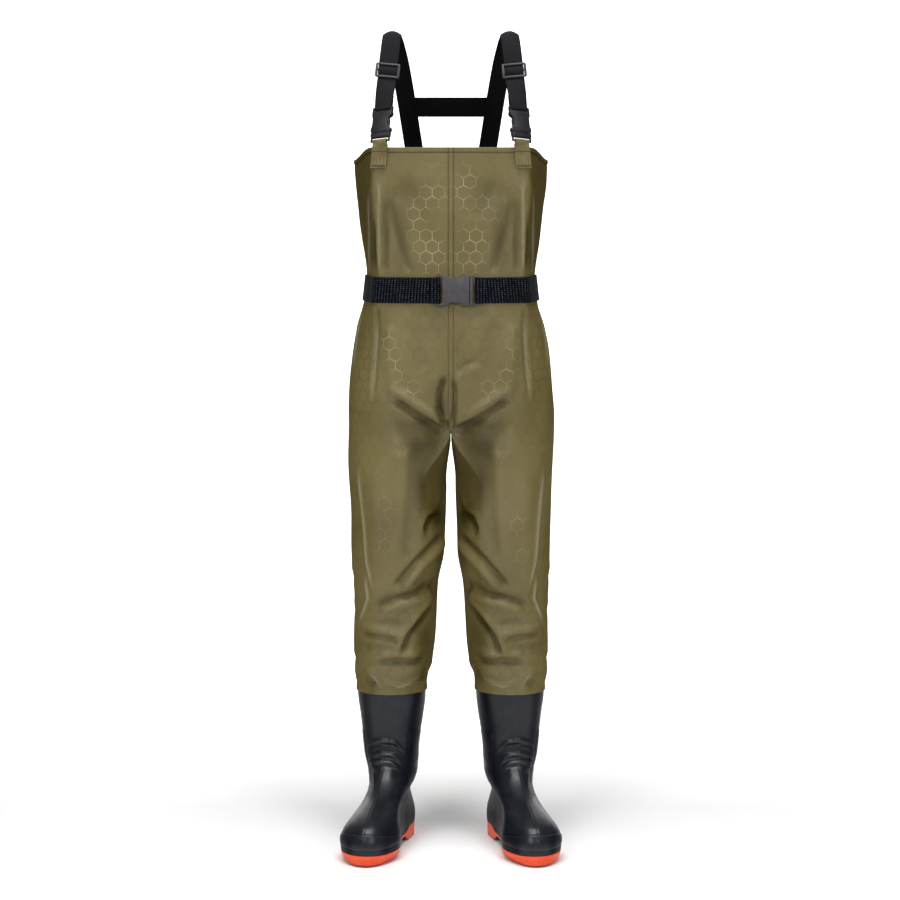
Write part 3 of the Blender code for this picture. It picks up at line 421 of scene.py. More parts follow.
def olive_material():
    m = Mat("olive_coated_cloth", roughness=0.42, specular=0.3)
    line = hex_line(m)
    wide = m.noise(9.0, 3.0, 0.55)
    fine = m.noise(1500.0, 2.0, 0.6)
    tone = m.mixc(m.ramp(wide, 0.3, 0.72), lin(104, 94, 58), lin(117, 106, 69))
    tone = m.mixc(m.ramp(fine, 0.25, 0.8, 0.0, 0.22), tone, lin(84, 75, 42))
    broken = m.ramp(m.noise(26.0, 2.0, 0.5), 0.36, 0.60, 0.22, 1.0)
    # painted highlight: honeycomb lines lightened on listed patches where light catches the coated cloth
    light = m.math("MULTIPLY", m.math("MULTIPLY", line, broken), m.att("hex_painted_highlight"))
    # honeycomb lines a little darker everywhere as the cloth's pattern, darker on listed patches as painted shade
    dark = m.math("MULTIPLY", line, m.math("MAXIMUM", m.att("hex_line_tone_and_shade"), 0.5))
    tone = m.mixc(m.math("MULTIPLY", dark, 0.50), tone, lin(70, 61, 30))
    tone = m.mixc(m.math("MULTIPLY", light, 0.70), tone, lin(186, 179, 146))
    # painted shade: cloth darkened in fold hollows, on listed patches, in the seam and hem grooves and on the bib's
    # side panels
    tone = m.mixc(m.att("shade"), tone, lin(56, 48, 18))
    # painted highlight along crisp fold crests
    tone = m.mixc(m.math("MULTIPLY", m.att("glint"), m.ramp(fine, 0.2, 0.7, 0.6, 1.0)), tone, lin(168, 163, 142))
    tone = m.mixc(m.att("inside"), tone, lin(74, 70, 52))
    patch = m.noise(60.0, 2.0, 0.5)
    sheen = m.ramp(m.att("flank"), 0.0, 1.0, 0.30, 0.0)
    rough = m.math("SUBTRACT", m.ramp(patch, 0.2, 0.8, 0.36, 0.46), m.math("MULTIPLY", light, 0.16))
    cloth = m.bump(fine, 0.10, 0.0004)
    n = m.bump(line, 0.40, 0.0005, cloth)
    return m.set(Base_Color=tone, Roughness=rough, Normal=n, Specular_IOR_Level=sheen)


OLIVE = olive_material()

# ------------------------------------------------------------------ body
# painted highlights: bright lines on crisp folds, in photo pixels: width mm, strength, points
GLINTS = [
    (2.2, 0.55, [(357, 470), (361, 515), (365, 560), (371, 588)]),
    (2.0, 0.60, [(364, 575), (366, 598), (361, 613), (356, 625)]),
    (2.2, 0.40, [(369, 190), (368.5, 235), (367.5, 276)]),
    (2.0, 0.35, [(379, 182), (378.5, 235), (379, 274)]),
    (1.8, 0.40, [(361, 305), (354, 340), (351, 370)]),
    (2.2, 0.35, [(377, 318), (374, 365), (371, 398)]),
    (2.2, 0.45, [(388, 404), (391, 398), (397, 398)]),
    (1.8, 0.75, [(367, 669), (374, 675), (379, 687)]),
    (1.8, 0.60, [(384, 683), (397, 687), (408, 684), (415, 676)]),
    (1.8, 0.45, [(391, 632), (395, 630), (400, 632)]),
]
# folds seen from the front on the wearer's right half, mirrored to the other,
# in photo pixels: points, width mm, depth mm, ridge mm beside it, its offset mm
FOLDS = [
    # bib: slanting valley beside the flat middle, upright creases by the side fold
    dict(p=[(388, 196), (394, 225), (402, 250), (410, 274)], w=8, d=-4.6, r=2.4, o=15, rw=12),
    dict(p=[(405, 178), (417, 200), (424, 222)], w=11, d=-1.8),
    dict(p=[(386, 200), (385.5, 240), (384, 274)], w=4.2, d=-3.6),
    dict(p=[(379, 182), (378.5, 235), (379, 274)], w=5.0, d=3.2),
    dict(p=[(374, 215), (373.5, 250), (374, 274)], w=3.4, d=-3.2),
    dict(p=[(370, 180), (369.5, 230), (370, 274)], w=3.4, d=2.0),
    dict(p=[(425, 262), (421, 274)], w=5, d=-1.6),
    # hips: pleat, thigh front, hook-shaped fold to the crotch
    dict(p=[(377, 303), (376.5, 335), (372, 398)], w=3.4, d=-4.2, r=2.6, o=-5, rw=3.6),
    dict(p=[(388, 322), (389, 360), (392, 396)], w=10, d=3.4),
    dict(p=[(388, 401), (393, 400), (400, 403), (410, 410), (422, 418), (438, 427), (447, 431)], w=8.0, d=-10.0, r=7.0, o=14, rw=9),
    dict(p=[(391, 412), (400, 428), (412, 443), (425, 456)], w=15, d=-4.0),
    dict(p=[(405, 318), (412, 340), (424, 372)], w=16, d=-2.2),
    dict(p=[(418, 306), (423, 322)], w=7, d=-2.4),
    # thigh and knee
    dict(p=[(413, 448), (411, 480), (408, 525), (403, 560)], w=9, d=-4.4, r=4.0, o=-20, rw=14),
    dict(p=[(357, 470), (361, 515), (365, 560), (371, 588)], w=3.0, d=2.0),
    dict(p=[(363, 575), (366, 598), (361, 613), (356, 625)], w=2.6, d=2.6),
    dict(p=[(446, 497), (438, 513), (429, 517), (425, 526), (427, 537)], w=5.0, d=-11.0, r=4.5, o=-8, rw=6),
    dict(p=[(446, 534), (432, 545), (417, 559), (398, 580), (394, 588)], w=6.5, d=-9.0, r=7.5, o=13, rw=9),
    dict(p=[(432, 582), (414, 592), (394, 597), (378, 602), (372, 609)], w=7.0, d=-7.5, r=6.0, o=15, rw=9),
    dict(p=[(371, 622), (386, 620), (405, 622)], w=5.5, d=-3.0, r=2.6, o=10, rw=6),
    dict(p=[(357, 633), (373, 635), (390, 638), (399, 642)], w=5.5, d=-6.5, r=5.0, o=12, rw=8),
    dict(p=[(437, 600), (423, 616), (408, 635), (399, 657)], w=5.5, d=-10.0, r=6.5, o=-11, rw=8),
    dict(p=[(374, 663), (393, 660), (413, 661), (425, 658)], w=5.0, d=-8.5, r=5.0, o=12, rw=8),
    dict(p=[(365, 667), (374, 673), (379, 686)], w=3.4, d=4.6),
    dict(p=[(369, 678), (376, 688)], w=3.6, d=-6.5),
    dict(p=[(380, 677), (390, 684), (401, 685), (416, 677)], w=4.0, d=3.6),
    dict(p=[(392, 675), (405, 676)], w=6.0, d=2.0),
    dict(p=[(425, 664), (421, 676), (415, 688)], w=4.4, d=-6.5),
    dict(p=[(434, 580), (430, 590), (434, 602)], w=4.0, d=-6.0),
]
# folds on one half only
FOLDS_ONE = [
    dict(p=[(445, 372), (438, 390), (437, 407), (442, 419), (449, 429)], w=5.0, d=-11.0, r=4.5, o=-9, rw=8),
    dict(p=[(451, 374), (454, 391), (453, 412), (450, 428)], w=4.5, d=-7.0),
    dict(p=[(454, 374), (464, 364), (476, 357)], w=7, d=-4.6, r=4.2, o=-13, rw=9),
    dict(p=[(437, 436), (437, 447)], w=3.0, d=-2.6),
    dict(p=[(459, 330), (457, 350), (456, 366)], w=5, d=-1.6),
]
# folds across the back and round the outer side: across (x or y), z in mm
FOLDS_BACK = [
    dict(p=[(-150, 735), (-100, 720), (-45, 742)], w=11, d=-5.0, r=3.5, o=16, rw=13),
    dict(p=[(-165, 800), (-90, 775), (-30, 770)], w=14, d=-2.6),
    dict(p=[(-165, 520), (-110, 505), (-40, 522)], w=8, d=-5.5, r=4.0, o=14, rw=10),
    dict(p=[(-160, 480), (-100, 470), (-45, 484)], w=7, d=-5.0, r=3.5, o=12, rw=9),
    dict(p=[(-155, 415), (-100, 430), (-60, 418)], w=8, d=-4.0, r=3.0, o=12, rw=9),
    dict(p=[(-150, 350), (-110, 340), (-60, 356)], w=6, d=-5.0, r=3.6, o=11, rw=8),
    dict(p=[(-140, 305), (-105, 312), (-65, 302)], w=5, d=-4.0, r=3.0, o=9, rw=7),
    dict(p=[(-115, 966), (-108, 930), (-112, 880)], w=6, d=-3.4),
    dict(p=[(-70, 966), (-66, 925), (-60, 870)], w=7, d=-3.0, r=2.0, o=10),
    dict(p=[(-90, 1024), (-96, 1070), (-104, 1110)], w=7, d=-3.0),
    dict(p=[(-45, 1024), (-46, 1075)], w=7, d=-2.4, r=1.6, o=10),
]
FOLDS_SIDE = [
    dict(p=[(-60, 500), (0, 478), (60, 495)], w=9, d=-3.5, r=3.0, o=14, rw=10),
    dict(p=[(-55, 402), (0, 420), (55, 405)], w=8, d=-3.5, r=2.6, o=12, rw=9),
    dict(p=[(-50, 340), (10, 330), (50, 348)], w=6, d=-4.0, r=3.0, o=10, rw=8),
    dict(p=[(-50, 300), (0, 308), (45, 298)], w=5, d=-3.0, r=2.0, o=8, rw=6),
    dict(p=[(-40, 966), (-30, 920), (-34, 880)], w=6, d=-2.6),
    dict(p=[(30, 966), (36, 915), (30, 860)], w=7, d=-2.4),
    dict(p=[(-20, 1026), (-16, 1080), (-30, 1150)], w=8, d=-2.4),
    dict(p=[(40, 1026), (46, 1090)], w=8, d=-2.0),
]


def run_folds(x, z, folds, pixels):
    out = np.zeros_like(x)
    for f in folds:
        pts = px(f["p"]) if pixels else [(a * MM, b * MM) for a, b in f["p"]]
        out += stroke(x, z, pts, f["w"] * f.get("spread", 1.0) * MM, f["d"] * MM, f.get("r", 0) * MM, f.get("o", 0) * MM,
                      f.get("rw", f["w"]) * MM)
    return out


def body_piece():
    s_cols = np.concatenate([[0, 0.02, 0.04, 0.06, 0.09, 0.14, 0.19, 0.24, 0.30, 0.38], np.linspace(0.48, 9.4, 64), np.linspace(9.65, 16, 25)])
    m = len(s_cols) - 1
    k_in = 41
    i_cols = np.concatenate([s_cols, 16 + 8 * np.arange(1, k_in + 1) / (k_in + 1)])
    z_torso = np.concatenate([1.249 - np.array([0, 1.2, 2.6, 4.5, 6.5, 8.0, 9.0, 10.0, 11.5, 14]) * MM,
                              np.linspace(1.232, Z_CROTCH, 144)])
    z_leg = np.concatenate([np.linspace(Z_CROTCH, Z_HEM + 0.0125, 147)[1:], Z_HEM + np.array([10, 8, 6, 4, 2.2, 1.0, 0]) * MM])
    ring = 2 * m
    sj = np.concatenate([s_cols, s_cols[1:-1][::-1]])
    sign = np.concatenate([np.ones(m + 1), -np.ones(m - 1)])
    zz, ss = np.meshgrid(z_torso, sj, indexing="ij")
    x, y = torso(zz, ss)
    x[:, 0], x[:, m] = 0.0, 0.0
    v_t = np.stack([x * sign, y, torso_height(zz, ss)], -1)
    d = np.linalg.norm(np.diff(v_t[:, :m + 1], axis=1), axis=2)
    arc = np.concatenate([np.zeros((len(z_torso), 1)), np.cumsum(d, axis=1)], 1)
    arc = np.concatenate([arc, arc[:, 1:-1][:, ::-1]], 1) * sign
    uv_t = np.stack([arc, v_t[..., 2]], -1)
    verts, faces, uvs = [v_t.reshape(-1, 3)], [grid_faces(len(z_torso), ring, True)], [uv_t.reshape(-1, 2)]
    count = len(verts[0])
    last = (len(z_torso) - 1) * ring
    line = leg(np.full(k_in, Z_CROTCH), i_cols[m + 1:])
    crotch = count
    verts.append(line)
    uvs.append(np.stack([np.zeros(k_in), line[:, 2]], -1))
    count += k_in
    n = len(i_cols)
    zl, il = np.meshgrid(z_leg, i_cols, indexing="ij")
    base = leg(zl, il)
    four = int(np.argmin(np.abs(s_cols - 4)))
    step = np.linalg.norm(np.diff(base, axis=1), axis=2)
    run = np.concatenate([np.zeros((len(z_leg), 1)), np.cumsum(step, 1)], 1)
    run = run - run[:, four:four + 1] + arc[-1, four]
    for side in (1, -1):
        p = base.reshape(-1, 3) * np.array([side, 1, 1])
        verts.append(p)
        uvs.append(np.stack([side * run, base[..., 2]], -1).reshape(-1, 2))
        head = np.concatenate([last + (np.arange(m + 1) if side > 0 else (ring - np.arange(m + 1)) % ring),
                               crotch + np.arange(k_in)])
        nxt = count + np.arange(n)
        q = np.stack([head, nxt, np.roll(nxt, -1), np.roll(head, -1)], -1)
        faces.append(q if side > 0 else q[:, ::-1])
        faces.append(grid_faces(len(z_leg), n, True, count, side < 0))
        count += len(p)
    v, f, uv = np.concatenate(verts), np.concatenate(faces), np.concatenate(uvs)
    nrm = vertex_normals(v, f)
    x, y, z = v.T
    front, back = smooth(0.0, 0.45, -nrm[:, 1]), smooth(0.05, 0.5, nrm[:, 1])
    flank = smooth(0.35, 0.85, np.abs(nrm[:, 0])) * (np.abs(x) > 0.1)
    half = -np.abs(x)
    d = front * (run_folds(half, z, FOLDS, True) + run_folds(x, z, FOLDS_ONE, True))
    d += back * run_folds(half, z, FOLDS_BACK, False)
    d += 0.32 * flank * (1 - 0.8 * front) * run_folds(y, z, FOLDS_SIDE, False)
    d += 7.0 * MM * front * np.exp(-((z - 0.311) / 0.023) ** 2)
    # slow waves of the cloth
    d += 0.9 * MM * np.sin(x * 41 + z * 13) * np.sin(z * 29 + y * 17 + 1.3)
    d += 0.5 * MM * np.sin(x * 90 - z * 37 + y * 60)
    # the cloth is drawn in by the belt
    near = np.exp(-((z - 1.000) / 0.034) ** 2)
    d -= near * 0.4 * MM * (1 + np.sin(uv[:, 0] * 230) + 0.6 * np.sin(uv[:, 0] * 411 + 1))
    d *= 1 - np.exp(-((z - 1.000) / 0.024) ** 4) * 0.85
    # hems stay close to the boots and flat at the top edge
    top = z - torso_height(np.full_like(z, Z_TOP_FRONT), np.clip(np.interp(np.abs(uv[:, 0]), [0, 0.139, 0.29, 0.52], [0, 6, 10, 16]), 0, 16))
    d *= smooth(Z_HEM + 0.004, Z_HEM + 0.022, z) * np.where(z > 1.1, smooth(-0.006, -0.05, top), 1)
    # raised top hem with a stitched groove, seams at the front and the back
    torso_row = np.zeros(len(v))
    torso_row[:len(verts[0])] = np.repeat(np.arange(len(z_torso)), ring)
    is_t = np.arange(len(v)) < len(verts[0])
    depth_row = np.zeros(len(v))
    depth_row[is_t] = (1.249 - z_torso)[torso_row[is_t].astype(int)]
    d += np.where(is_t, 0.9 * MM * (depth_row < 8.6 * MM), 0) - np.where(is_t, 0.9 * MM * np.exp(-((depth_row - 9.2 * MM) / (1.2 * MM)) ** 2), 0)
    seam = np.where(is_t & (np.abs(x) < 0.02), 1.0, 0.0)
    ax = np.abs(x)
    d += seam * (0.9 * MM * (ax < 3.6 * MM) - 1.4 * MM * np.exp(-((ax - 4.4 * MM) / (1.1 * MM)) ** 2))
    d += np.where(~is_t | (z < Z_HEM + 0.02), 0.5 * MM * (z < Z_HEM + 0.0065), 0)
    d = np.maximum(d, -0.5 * MM - 0.02 * smooth(0.330, 0.362, z))
    v = v + nrm * d[:, None]
    # legs keep clear of each other
    legs = np.arange(len(v)) >= crotch + k_in
    v[legs, 0] = np.where(base_sign(x[legs]) > 0, np.maximum(v[legs, 0], 0.4 * MM), np.minimum(v[legs, 0], -0.4 * MM))

    def patch(cx, cy, rx, ry):
        a, b = px([(cx, cy)])[0]
        return np.exp(-((half - a) / (rx * PX)) ** 2 - ((z - b) / (ry * PX)) ** 2)
    # painted highlight: patches on the front where the honeycomb lines are lightened
    light = sum(w * patch(*q) for w, q in (
        (1.0, (434, 190, 12, 22)), (0.9, (431, 250, 16, 26)), (0.6, (413, 215, 10, 26)), (0.8, (388, 338, 7, 14)),
        (0.8, (394, 368, 10, 16)), (0.6, (412, 390, 9, 14)), (0.5, (382, 520, 12, 50)), (0.5, (398, 630, 12, 5)), (0.9, (404, 682, 12, 5)),
        (0.35, (376, 235, 8, 40)))) * front
    # darker honeycomb lines: pattern everywhere, painted shade on the listed patches
    dark = 0.30 + sum(w * patch(*q) for w, q in (
        (0.8, (408, 186, 22, 14)), (0.8, (360, 350, 10, 40)), (0.7, (372, 380, 14, 20)), (0.7, (428, 322, 12, 14)), (0.5, (404, 382, 10, 14)),
        (0.8, (403, 612, 24, 10)), (0.7, (372, 646, 16, 9)), (0.9, (395, 670, 20, 8)))) * front
    # painted shade: darker in the folds' hollows and on listed patches
    hollow_shade = np.clip(-d / (10 * MM), 0, 1) ** 1.2 * 0.62
    shade_patches = sum(w * patch(*q) for w, q in (
        (0.62, (430, 484, 17, 38)), (0.40, (418, 482, 6, 30)), (0.60, (422, 442, 19, 15)), (0.85, (436, 516, 9, 13)), (0.60, (423, 640, 10, 28)), (0.45, (415, 424, 16, 7)),
        (0.45, (440, 560, 8, 10)), (0.45, (401, 240, 8, 30)), (0.30, (408, 190, 14, 12)), (0.40, (376, 646, 14, 4)), (0.40, (402, 594, 22, 4)),
        (0.65, (400, 663, 22, 3.2)), (0.50, (371, 685, 4, 6)), (0.50, (420, 678, 4, 8)), (0.45, (386, 240, 3, 28)), (0.35, (430, 590, 7, 8)))) * front
    # painted shade in the crotch valley on one half
    one = np.exp(-((x - px([(441, 408)])[0][0]) / (5 * PX)) ** 2 - ((z - px([(441, 408)])[0][1]) / (18 * PX)) ** 2)
    # painted shade in the front seam's grooves and the top hem's stitched groove
    seam_groove_shade = seam * np.exp(-((ax - 4.6 * MM) / (1.0 * MM)) ** 2) * (y < 0)
    hem_groove_shade = np.where(is_t, np.exp(-((depth_row - 9.2 * MM) / (1.4 * MM)) ** 2), 0)
    # painted shade on the bib's sideways-facing side panels
    panel = smooth(0.55, 0.9, np.abs(nrm[:, 0])) * smooth(1.02, 1.06, z)
    shade = np.clip(hollow_shade * (0.4 + 0.6 * front) + shade_patches + 0.7 * one * front + 0.6 * seam_groove_shade + 0.55 * hem_groove_shade + 0.62 * panel, 0, 0.9)
    flank_dim = smooth(0.35, 0.65, np.abs(nrm[:, 0]))
    # painted highlight lines along the crisp folds in GLINTS
    glint = np.zeros(len(v))
    for width, share, pts in GLINTS:
        glint = np.maximum(glint, stroke(half, z, px(pts), width * MM, share, fade=0.03) * (y < 0.02))
    glint = np.clip(glint, 0, 1)
    v[:, 1] += SHIFT_Y
    # inner face at half the detail, closed at the three rims
    rt, rl = len(z_torso), len(z_leg)
    t_rows = list(range(0, rt - 1, 2)) + [rt - 1]
    l_rows = list(range(1, rl - 1, 2)) + [rl - 1]
    first_leg = crotch + k_in
    pick, inner = [], []
    for r in t_rows:
        pick += [r * ring + c for c in range(0, ring, 2)]
    half_ring = ring // 2
    inner.append(grid_faces(len(t_rows), half_ring, True, 0, True))
    line_at = len(pick)
    pick += [crotch + c for c in range(1, k_in, 2)]
    half_n = len(range(0, n, 2))
    rims = [(np.arange(ring), np.arange(half_ring), False)]
    for q, side in enumerate((1, -1)):
        start = first_leg + q * rl * n
        here = len(pick)
        for r in l_rows:
            pick += [start + r * n + c for c in range(0, n, 2)]
        top_row = (len(t_rows) - 1) * half_ring
        hm = m // 2
        head = np.concatenate([top_row + (np.arange(hm + 1) if side > 0 else (half_ring - np.arange(hm + 1)) % half_ring),
                               line_at + np.arange(half_n - hm - 1)])
        nxt = here + np.arange(half_n)
        w = np.stack([head, nxt, np.roll(nxt, -1), np.roll(head, -1)], -1)
        inner.append(w[:, ::-1] if side > 0 else w)
        inner.append(grid_faces(len(l_rows), half_n, True, here, side > 0))
        rims.append((start + (rl - 1) * n + np.arange(n), here + (len(l_rows) - 1) * half_n + np.arange(half_n), side > 0))
    pick = np.array(pick)
    low = d.copy()
    blocks = [(0, rt, ring), (first_leg, rl, n), (first_leg + rl * n, rl, n)]
    for start, r, c in blocks:
        g = low[start:start + r * c].reshape(r, c)
        for _ in range(2):
            g = np.minimum(np.minimum(np.roll(g, 1, 1), np.roll(g, -1, 1)), g)
            up, dn = np.concatenate([g[:1], g[:-1]]), np.concatenate([g[1:], g[-1:]])
            g = np.minimum(np.minimum(up, dn), g)
        low[start:start + r * c] = g.ravel()
    sink = np.where(z < 0.305, 0.0, (low - d))
    wall = np.where((z[pick] > 1.15) | (z[pick] < 0.3), 1.0 * MM, 2.0 * MM)
    count = len(v)
    v_in = v[pick] + nrm[pick] * (sink[pick] - wall)[:, None]
    all_faces = f.tolist() + (np.concatenate(inner) + count).tolist()
    for outer, ins, turn in rims:
        k = len(ins)
        for j in range(k):
            o = [int(outer[2 * j]), int(outer[2 * j + 1]), int(outer[(2 * j + 2) % len(outer)])]
            i0, i1 = int(count + ins[j]), int(count + ins[(j + 1) % k])
            face = o + [i1, i0]
            all_faces.append(face if not turn else face[::-1])
    zero = np.zeros(len(pick))
    # the inner face gets a little painted shade
    att = dict(hex_painted_highlight=np.concatenate([np.clip(light, 0, 1), zero]), hex_line_tone_and_shade=np.concatenate([np.clip(dark, 0, 1), zero]),
               shade=np.concatenate([shade, zero + 0.25]), glint=np.concatenate([glint, zero]), flank=np.concatenate([flank_dim, zero + 1]),
               inside=np.concatenate([np.zeros(count), zero + 1]))
    ob = make("wader_body_cloth", np.concatenate([v, v_in]), all_faces, OLIVE, True,
              np.concatenate([uv, uv[pick]]), att)
    return place(ob, "wader_body")


def base_sign(x):
    return np.where(x >= 0, 1, -1)


body_piece()


# ------------------------------------------------------------------ boots
def boot_material():
    m = Mat("black_boot_rubber", roughness=0.34, specular=0.3, coat=0.06, coat_roughness=0.3)
    wide, fine = m.noise(38.0, 3.0, 0.55), m.noise(900.0, 2.0, 0.5)
    tone = m.mixc(m.ramp(wide, 0.3, 0.7), lin(18, 20, 26), lin(26, 28, 36))
    # painted highlight: the edge attribute lightens rib tops, the toe cap's edge and the bead above the sole
    tone = m.mixc(m.att("edge"), tone, lin(58, 61, 66))
    # painted shade: rubber darkened in the grooves under the ribs, along the mould line, round the toe cap, the ankle
    # panels and the foxing
    tone = m.mixc(m.att("groove_shade"), tone, lin(9, 9, 11))
    rough = m.ramp(m.noise(120.0, 4.0, 0.6), 0.25, 0.8, 0.29, 0.40)
    sheen = m.ramp(m.att("flank"), 0.0, 1.0, 0.34, 0.02)
    return m.set(Base_Color=tone, Roughness=rough, Specular_IOR_Level=sheen, Normal=m.bump(fine, 0.06, 0.0003))


def sole_material():
    m = Mat("orange_sole_rubber", roughness=0.45, specular=0.45)
    wide, fine = m.noise(30.0, 3.0, 0.55), m.noise(700.0, 2.0, 0.5)
    tone = m.mixc(m.ramp(wide, 0.3, 0.7), lin(243, 76, 28), lin(252, 92, 44))
    # painted shade: darker orange in the grooves between the toe's teeth, faintly on the top and bottom faces
    tone = m.mixc(m.att("groove_shade"), tone, lin(120, 30, 20))
    # painted shadow: the sole's bottom face and lowest wall rows darkened
    tone = m.mixc(m.att("painted_shade"), tone, lin(42, 30, 28))
    rough = m.ramp(m.noise(90.0, 3.0, 0.6), 0.25, 0.8, 0.40, 0.54)
    return m.set(Base_Color=tone, Roughness=rough, Normal=m.bump(fine, 0.08, 0.0003))


BOOT, SOLE_ORANGE = boot_material(), sole_material()
RIBS = ((187.5, 3.0, 30), (163.5, 2.8, 29), (151, 2.6, 27))      # front ribs: z, height, half width in mm


def upper(ring, a, sign):
    """Boot upper outline; a from 0 at the heel to pi at the toe."""
    k = ring * MM
    bt, ft, bz, fz = (UPPER[c](k) for c in ("back_t", "front_t", "back_z", "front_z"))
    half, foot = UPPER["half_width"](k), UPPER["foot"](k)
    u = (1 - np.cos(a)) / 2
    t, z = mix(bt, ft, u), mix(bz, fz, u)
    deg = np.degrees(a) * MM
    w = mix(half * np.sin(a), half * PLAN["half_width"](deg) / PLAN_MAX, foot)
    w = np.where(sign > 0, w * (1 - UPPER["slope"](k) * smooth(0.30, 0.92, u)), w)
    z = np.where(ring < 1, mix(SOLE["top"](t) + 0.35 * MM, z, np.clip(ring, 0, 1)), z)
    return PLAN["centre"](deg) * foot - UPPER["lean"](k) * smooth(0.12, 0.50, u), w, t, z


def boot_piece(label, side):
    rows = np.concatenate([np.linspace(0, 3, 55), np.linspace(3, 9, 70)[1:], np.linspace(9, 11, 58)[1:],
                           np.linspace(11, 14, 40)[1:]])
    da = np.concatenate([[0, 0.010, 0.020, 0.032, 0.048, 0.07], np.linspace(0.095, math.pi, 83)])
    h = len(da) - 1
    cols = 2 * h
    fold = np.concatenate([da, da[1:-1][::-1]])
    sign = np.concatenate([np.ones(h + 1), -np.ones(h - 1)])
    rr, dd = np.meshgrid(rows, fold, indexing="ij")
    sg = np.broadcast_to(sign, rr.shape)
    c, w, t, z = upper(rr, math.pi - dd, sg)
    s = c + sg * w
    v = boot_place(s, t, z).reshape(-1, 3)
    f = grid_faces(len(rows), cols, True, 0, False)
    nrm = vertex_normals(v, f)
    mid = v.mean(0)
    if np.mean(np.einsum("ij,ij->i", nrm, v - mid)) < 0:
        f, nrm = f[:, ::-1], -nrm
    R, D, S, T, Z, A = (q.ravel() for q in (rr, dd, s, t, z, dd * sg))
    lat = S - (PLAN["centre"](np.degrees(math.pi - D) * MM) * UPPER["foot"](R * MM))
    front = smooth(1.5, 0.9, D)
    d, groove_shade, edge = np.zeros(len(v)), np.zeros(len(v)), np.zeros(len(v))
    # ribs over the ankle, rounded above and undercut below; painted highlight on their tops, painted shade in the
    # undercut
    for z0, height, reach in RIBS:
        across = np.abs(lat) / MM
        level = Z / MM - z0 + 0.0005 * across ** 3
        fade = smooth(reach + 8, reach - 12, across) * front
        d += MM * height * fade * np.where(level > 0, np.exp(-(level / 4.6) ** 2), np.exp(-(level / 2.4) ** 2))
        d -= MM * 0.9 * fade * np.exp(-((level + 5.2) / 2.0) ** 2)
        groove_shade += 0.6 * fade * np.exp(-((level + 4.2) / 1.8) ** 2)
        edge += 0.55 * fade * smooth(26, 4, across) * np.exp(-((level - 0.8) / 1.8) ** 2)
    # mould line down the middle of the front, ending in a nub on the toe; painted shade along the line
    line = np.exp(-(lat / (0.9 * MM)) ** 2) * (D < 0.6) * smooth(0.95, 1.2, R)
    d -= 0.35 * MM * line
    groove_shade += 0.45 * line * smooth(9.0, 8.2, R)
    nub = np.exp(-(lat / (2.4 * MM)) ** 2 - ((R - 1.70) / 0.22) ** 2) * (D < 0.6)
    d += 1.5 * MM * nub
    stem = np.exp(-(lat / (1.3 * MM)) ** 2 - ((R - 1.05) / 0.30) ** 2) * (D < 0.6)
    d += 0.6 * MM * stem
    # toe cap: a lens round the toe standing a little proud, painted shade in its rim groove, painted highlight just
    # inside its edge
    arc_top, arc_low = 2.35 - 1.05 * (D / 1.05) ** 2, 0.80 + 0.05 * (D / 1.15) ** 2
    inside = np.minimum(arc_top - R, R - arc_low) * 13
    d += 0.8 * MM * smooth(-0.5, 0.6, inside)
    rim = np.exp(-((inside + 0.9) / 0.8) ** 2) * (D < 1.3)
    d -= 0.5 * MM * rim
    groove_shade += 0.4 * rim
    edge += 0.30 * np.exp(-((inside - 0.9) / 0.7) ** 2) * (D < 1.1)
    # foxing rim above the sole, bead over it; painted highlight on the bead, painted shade in the groove at the foot of
    # the rim
    bead = np.exp(-((R - 0.30) / 0.07) ** 2)
    d += 0.5 * MM * bead
    edge += 0.08 * bead * front
    groove_shade += 0.7 * np.exp(-((R - 0.10) / 0.06) ** 2)
    d += 0.9 * MM * smooth(0.22, 0.05, R)
    # ankle panels at both sides, painted shade in their cut outline
    e1 = (2.05 - D) * 52
    e0 = (D - (1.02 + 0.10 * np.sin(Z * 24))) * 52
    top, low = (202 - Z / MM) - 0.06 * e0, (Z / MM - 112) + 0.12 * e0
    panel = np.minimum(np.minimum(e0, e1), np.minimum(top, low))
    d += 0.7 * MM * smooth(-0.8, 0.8, panel)
    cut = np.exp(-((panel + 1.2) / 1.0) ** 2)
    d -= 0.35 * MM * cut
    groove_shade += 0.5 * cut
    dimple = np.exp(-((D - 1.62) * 52 / 9) ** 2 - ((Z / MM - 140) / 7) ** 2)
    d -= 1.6 * MM * dimple
    # the slack of the shaft and the bend of the instep
    d += 0.8 * MM * np.sin(Z * 33 + A * 2.0) * np.sin(A * 3 + Z * 21) * smooth(0.14, 0.19, Z)
    d -= 1.8 * MM * np.exp(-((Z - 0.133) / 0.007) ** 2) * front * smooth(0.25, 0.6, D)
    v = v + nrm * d[:, None]
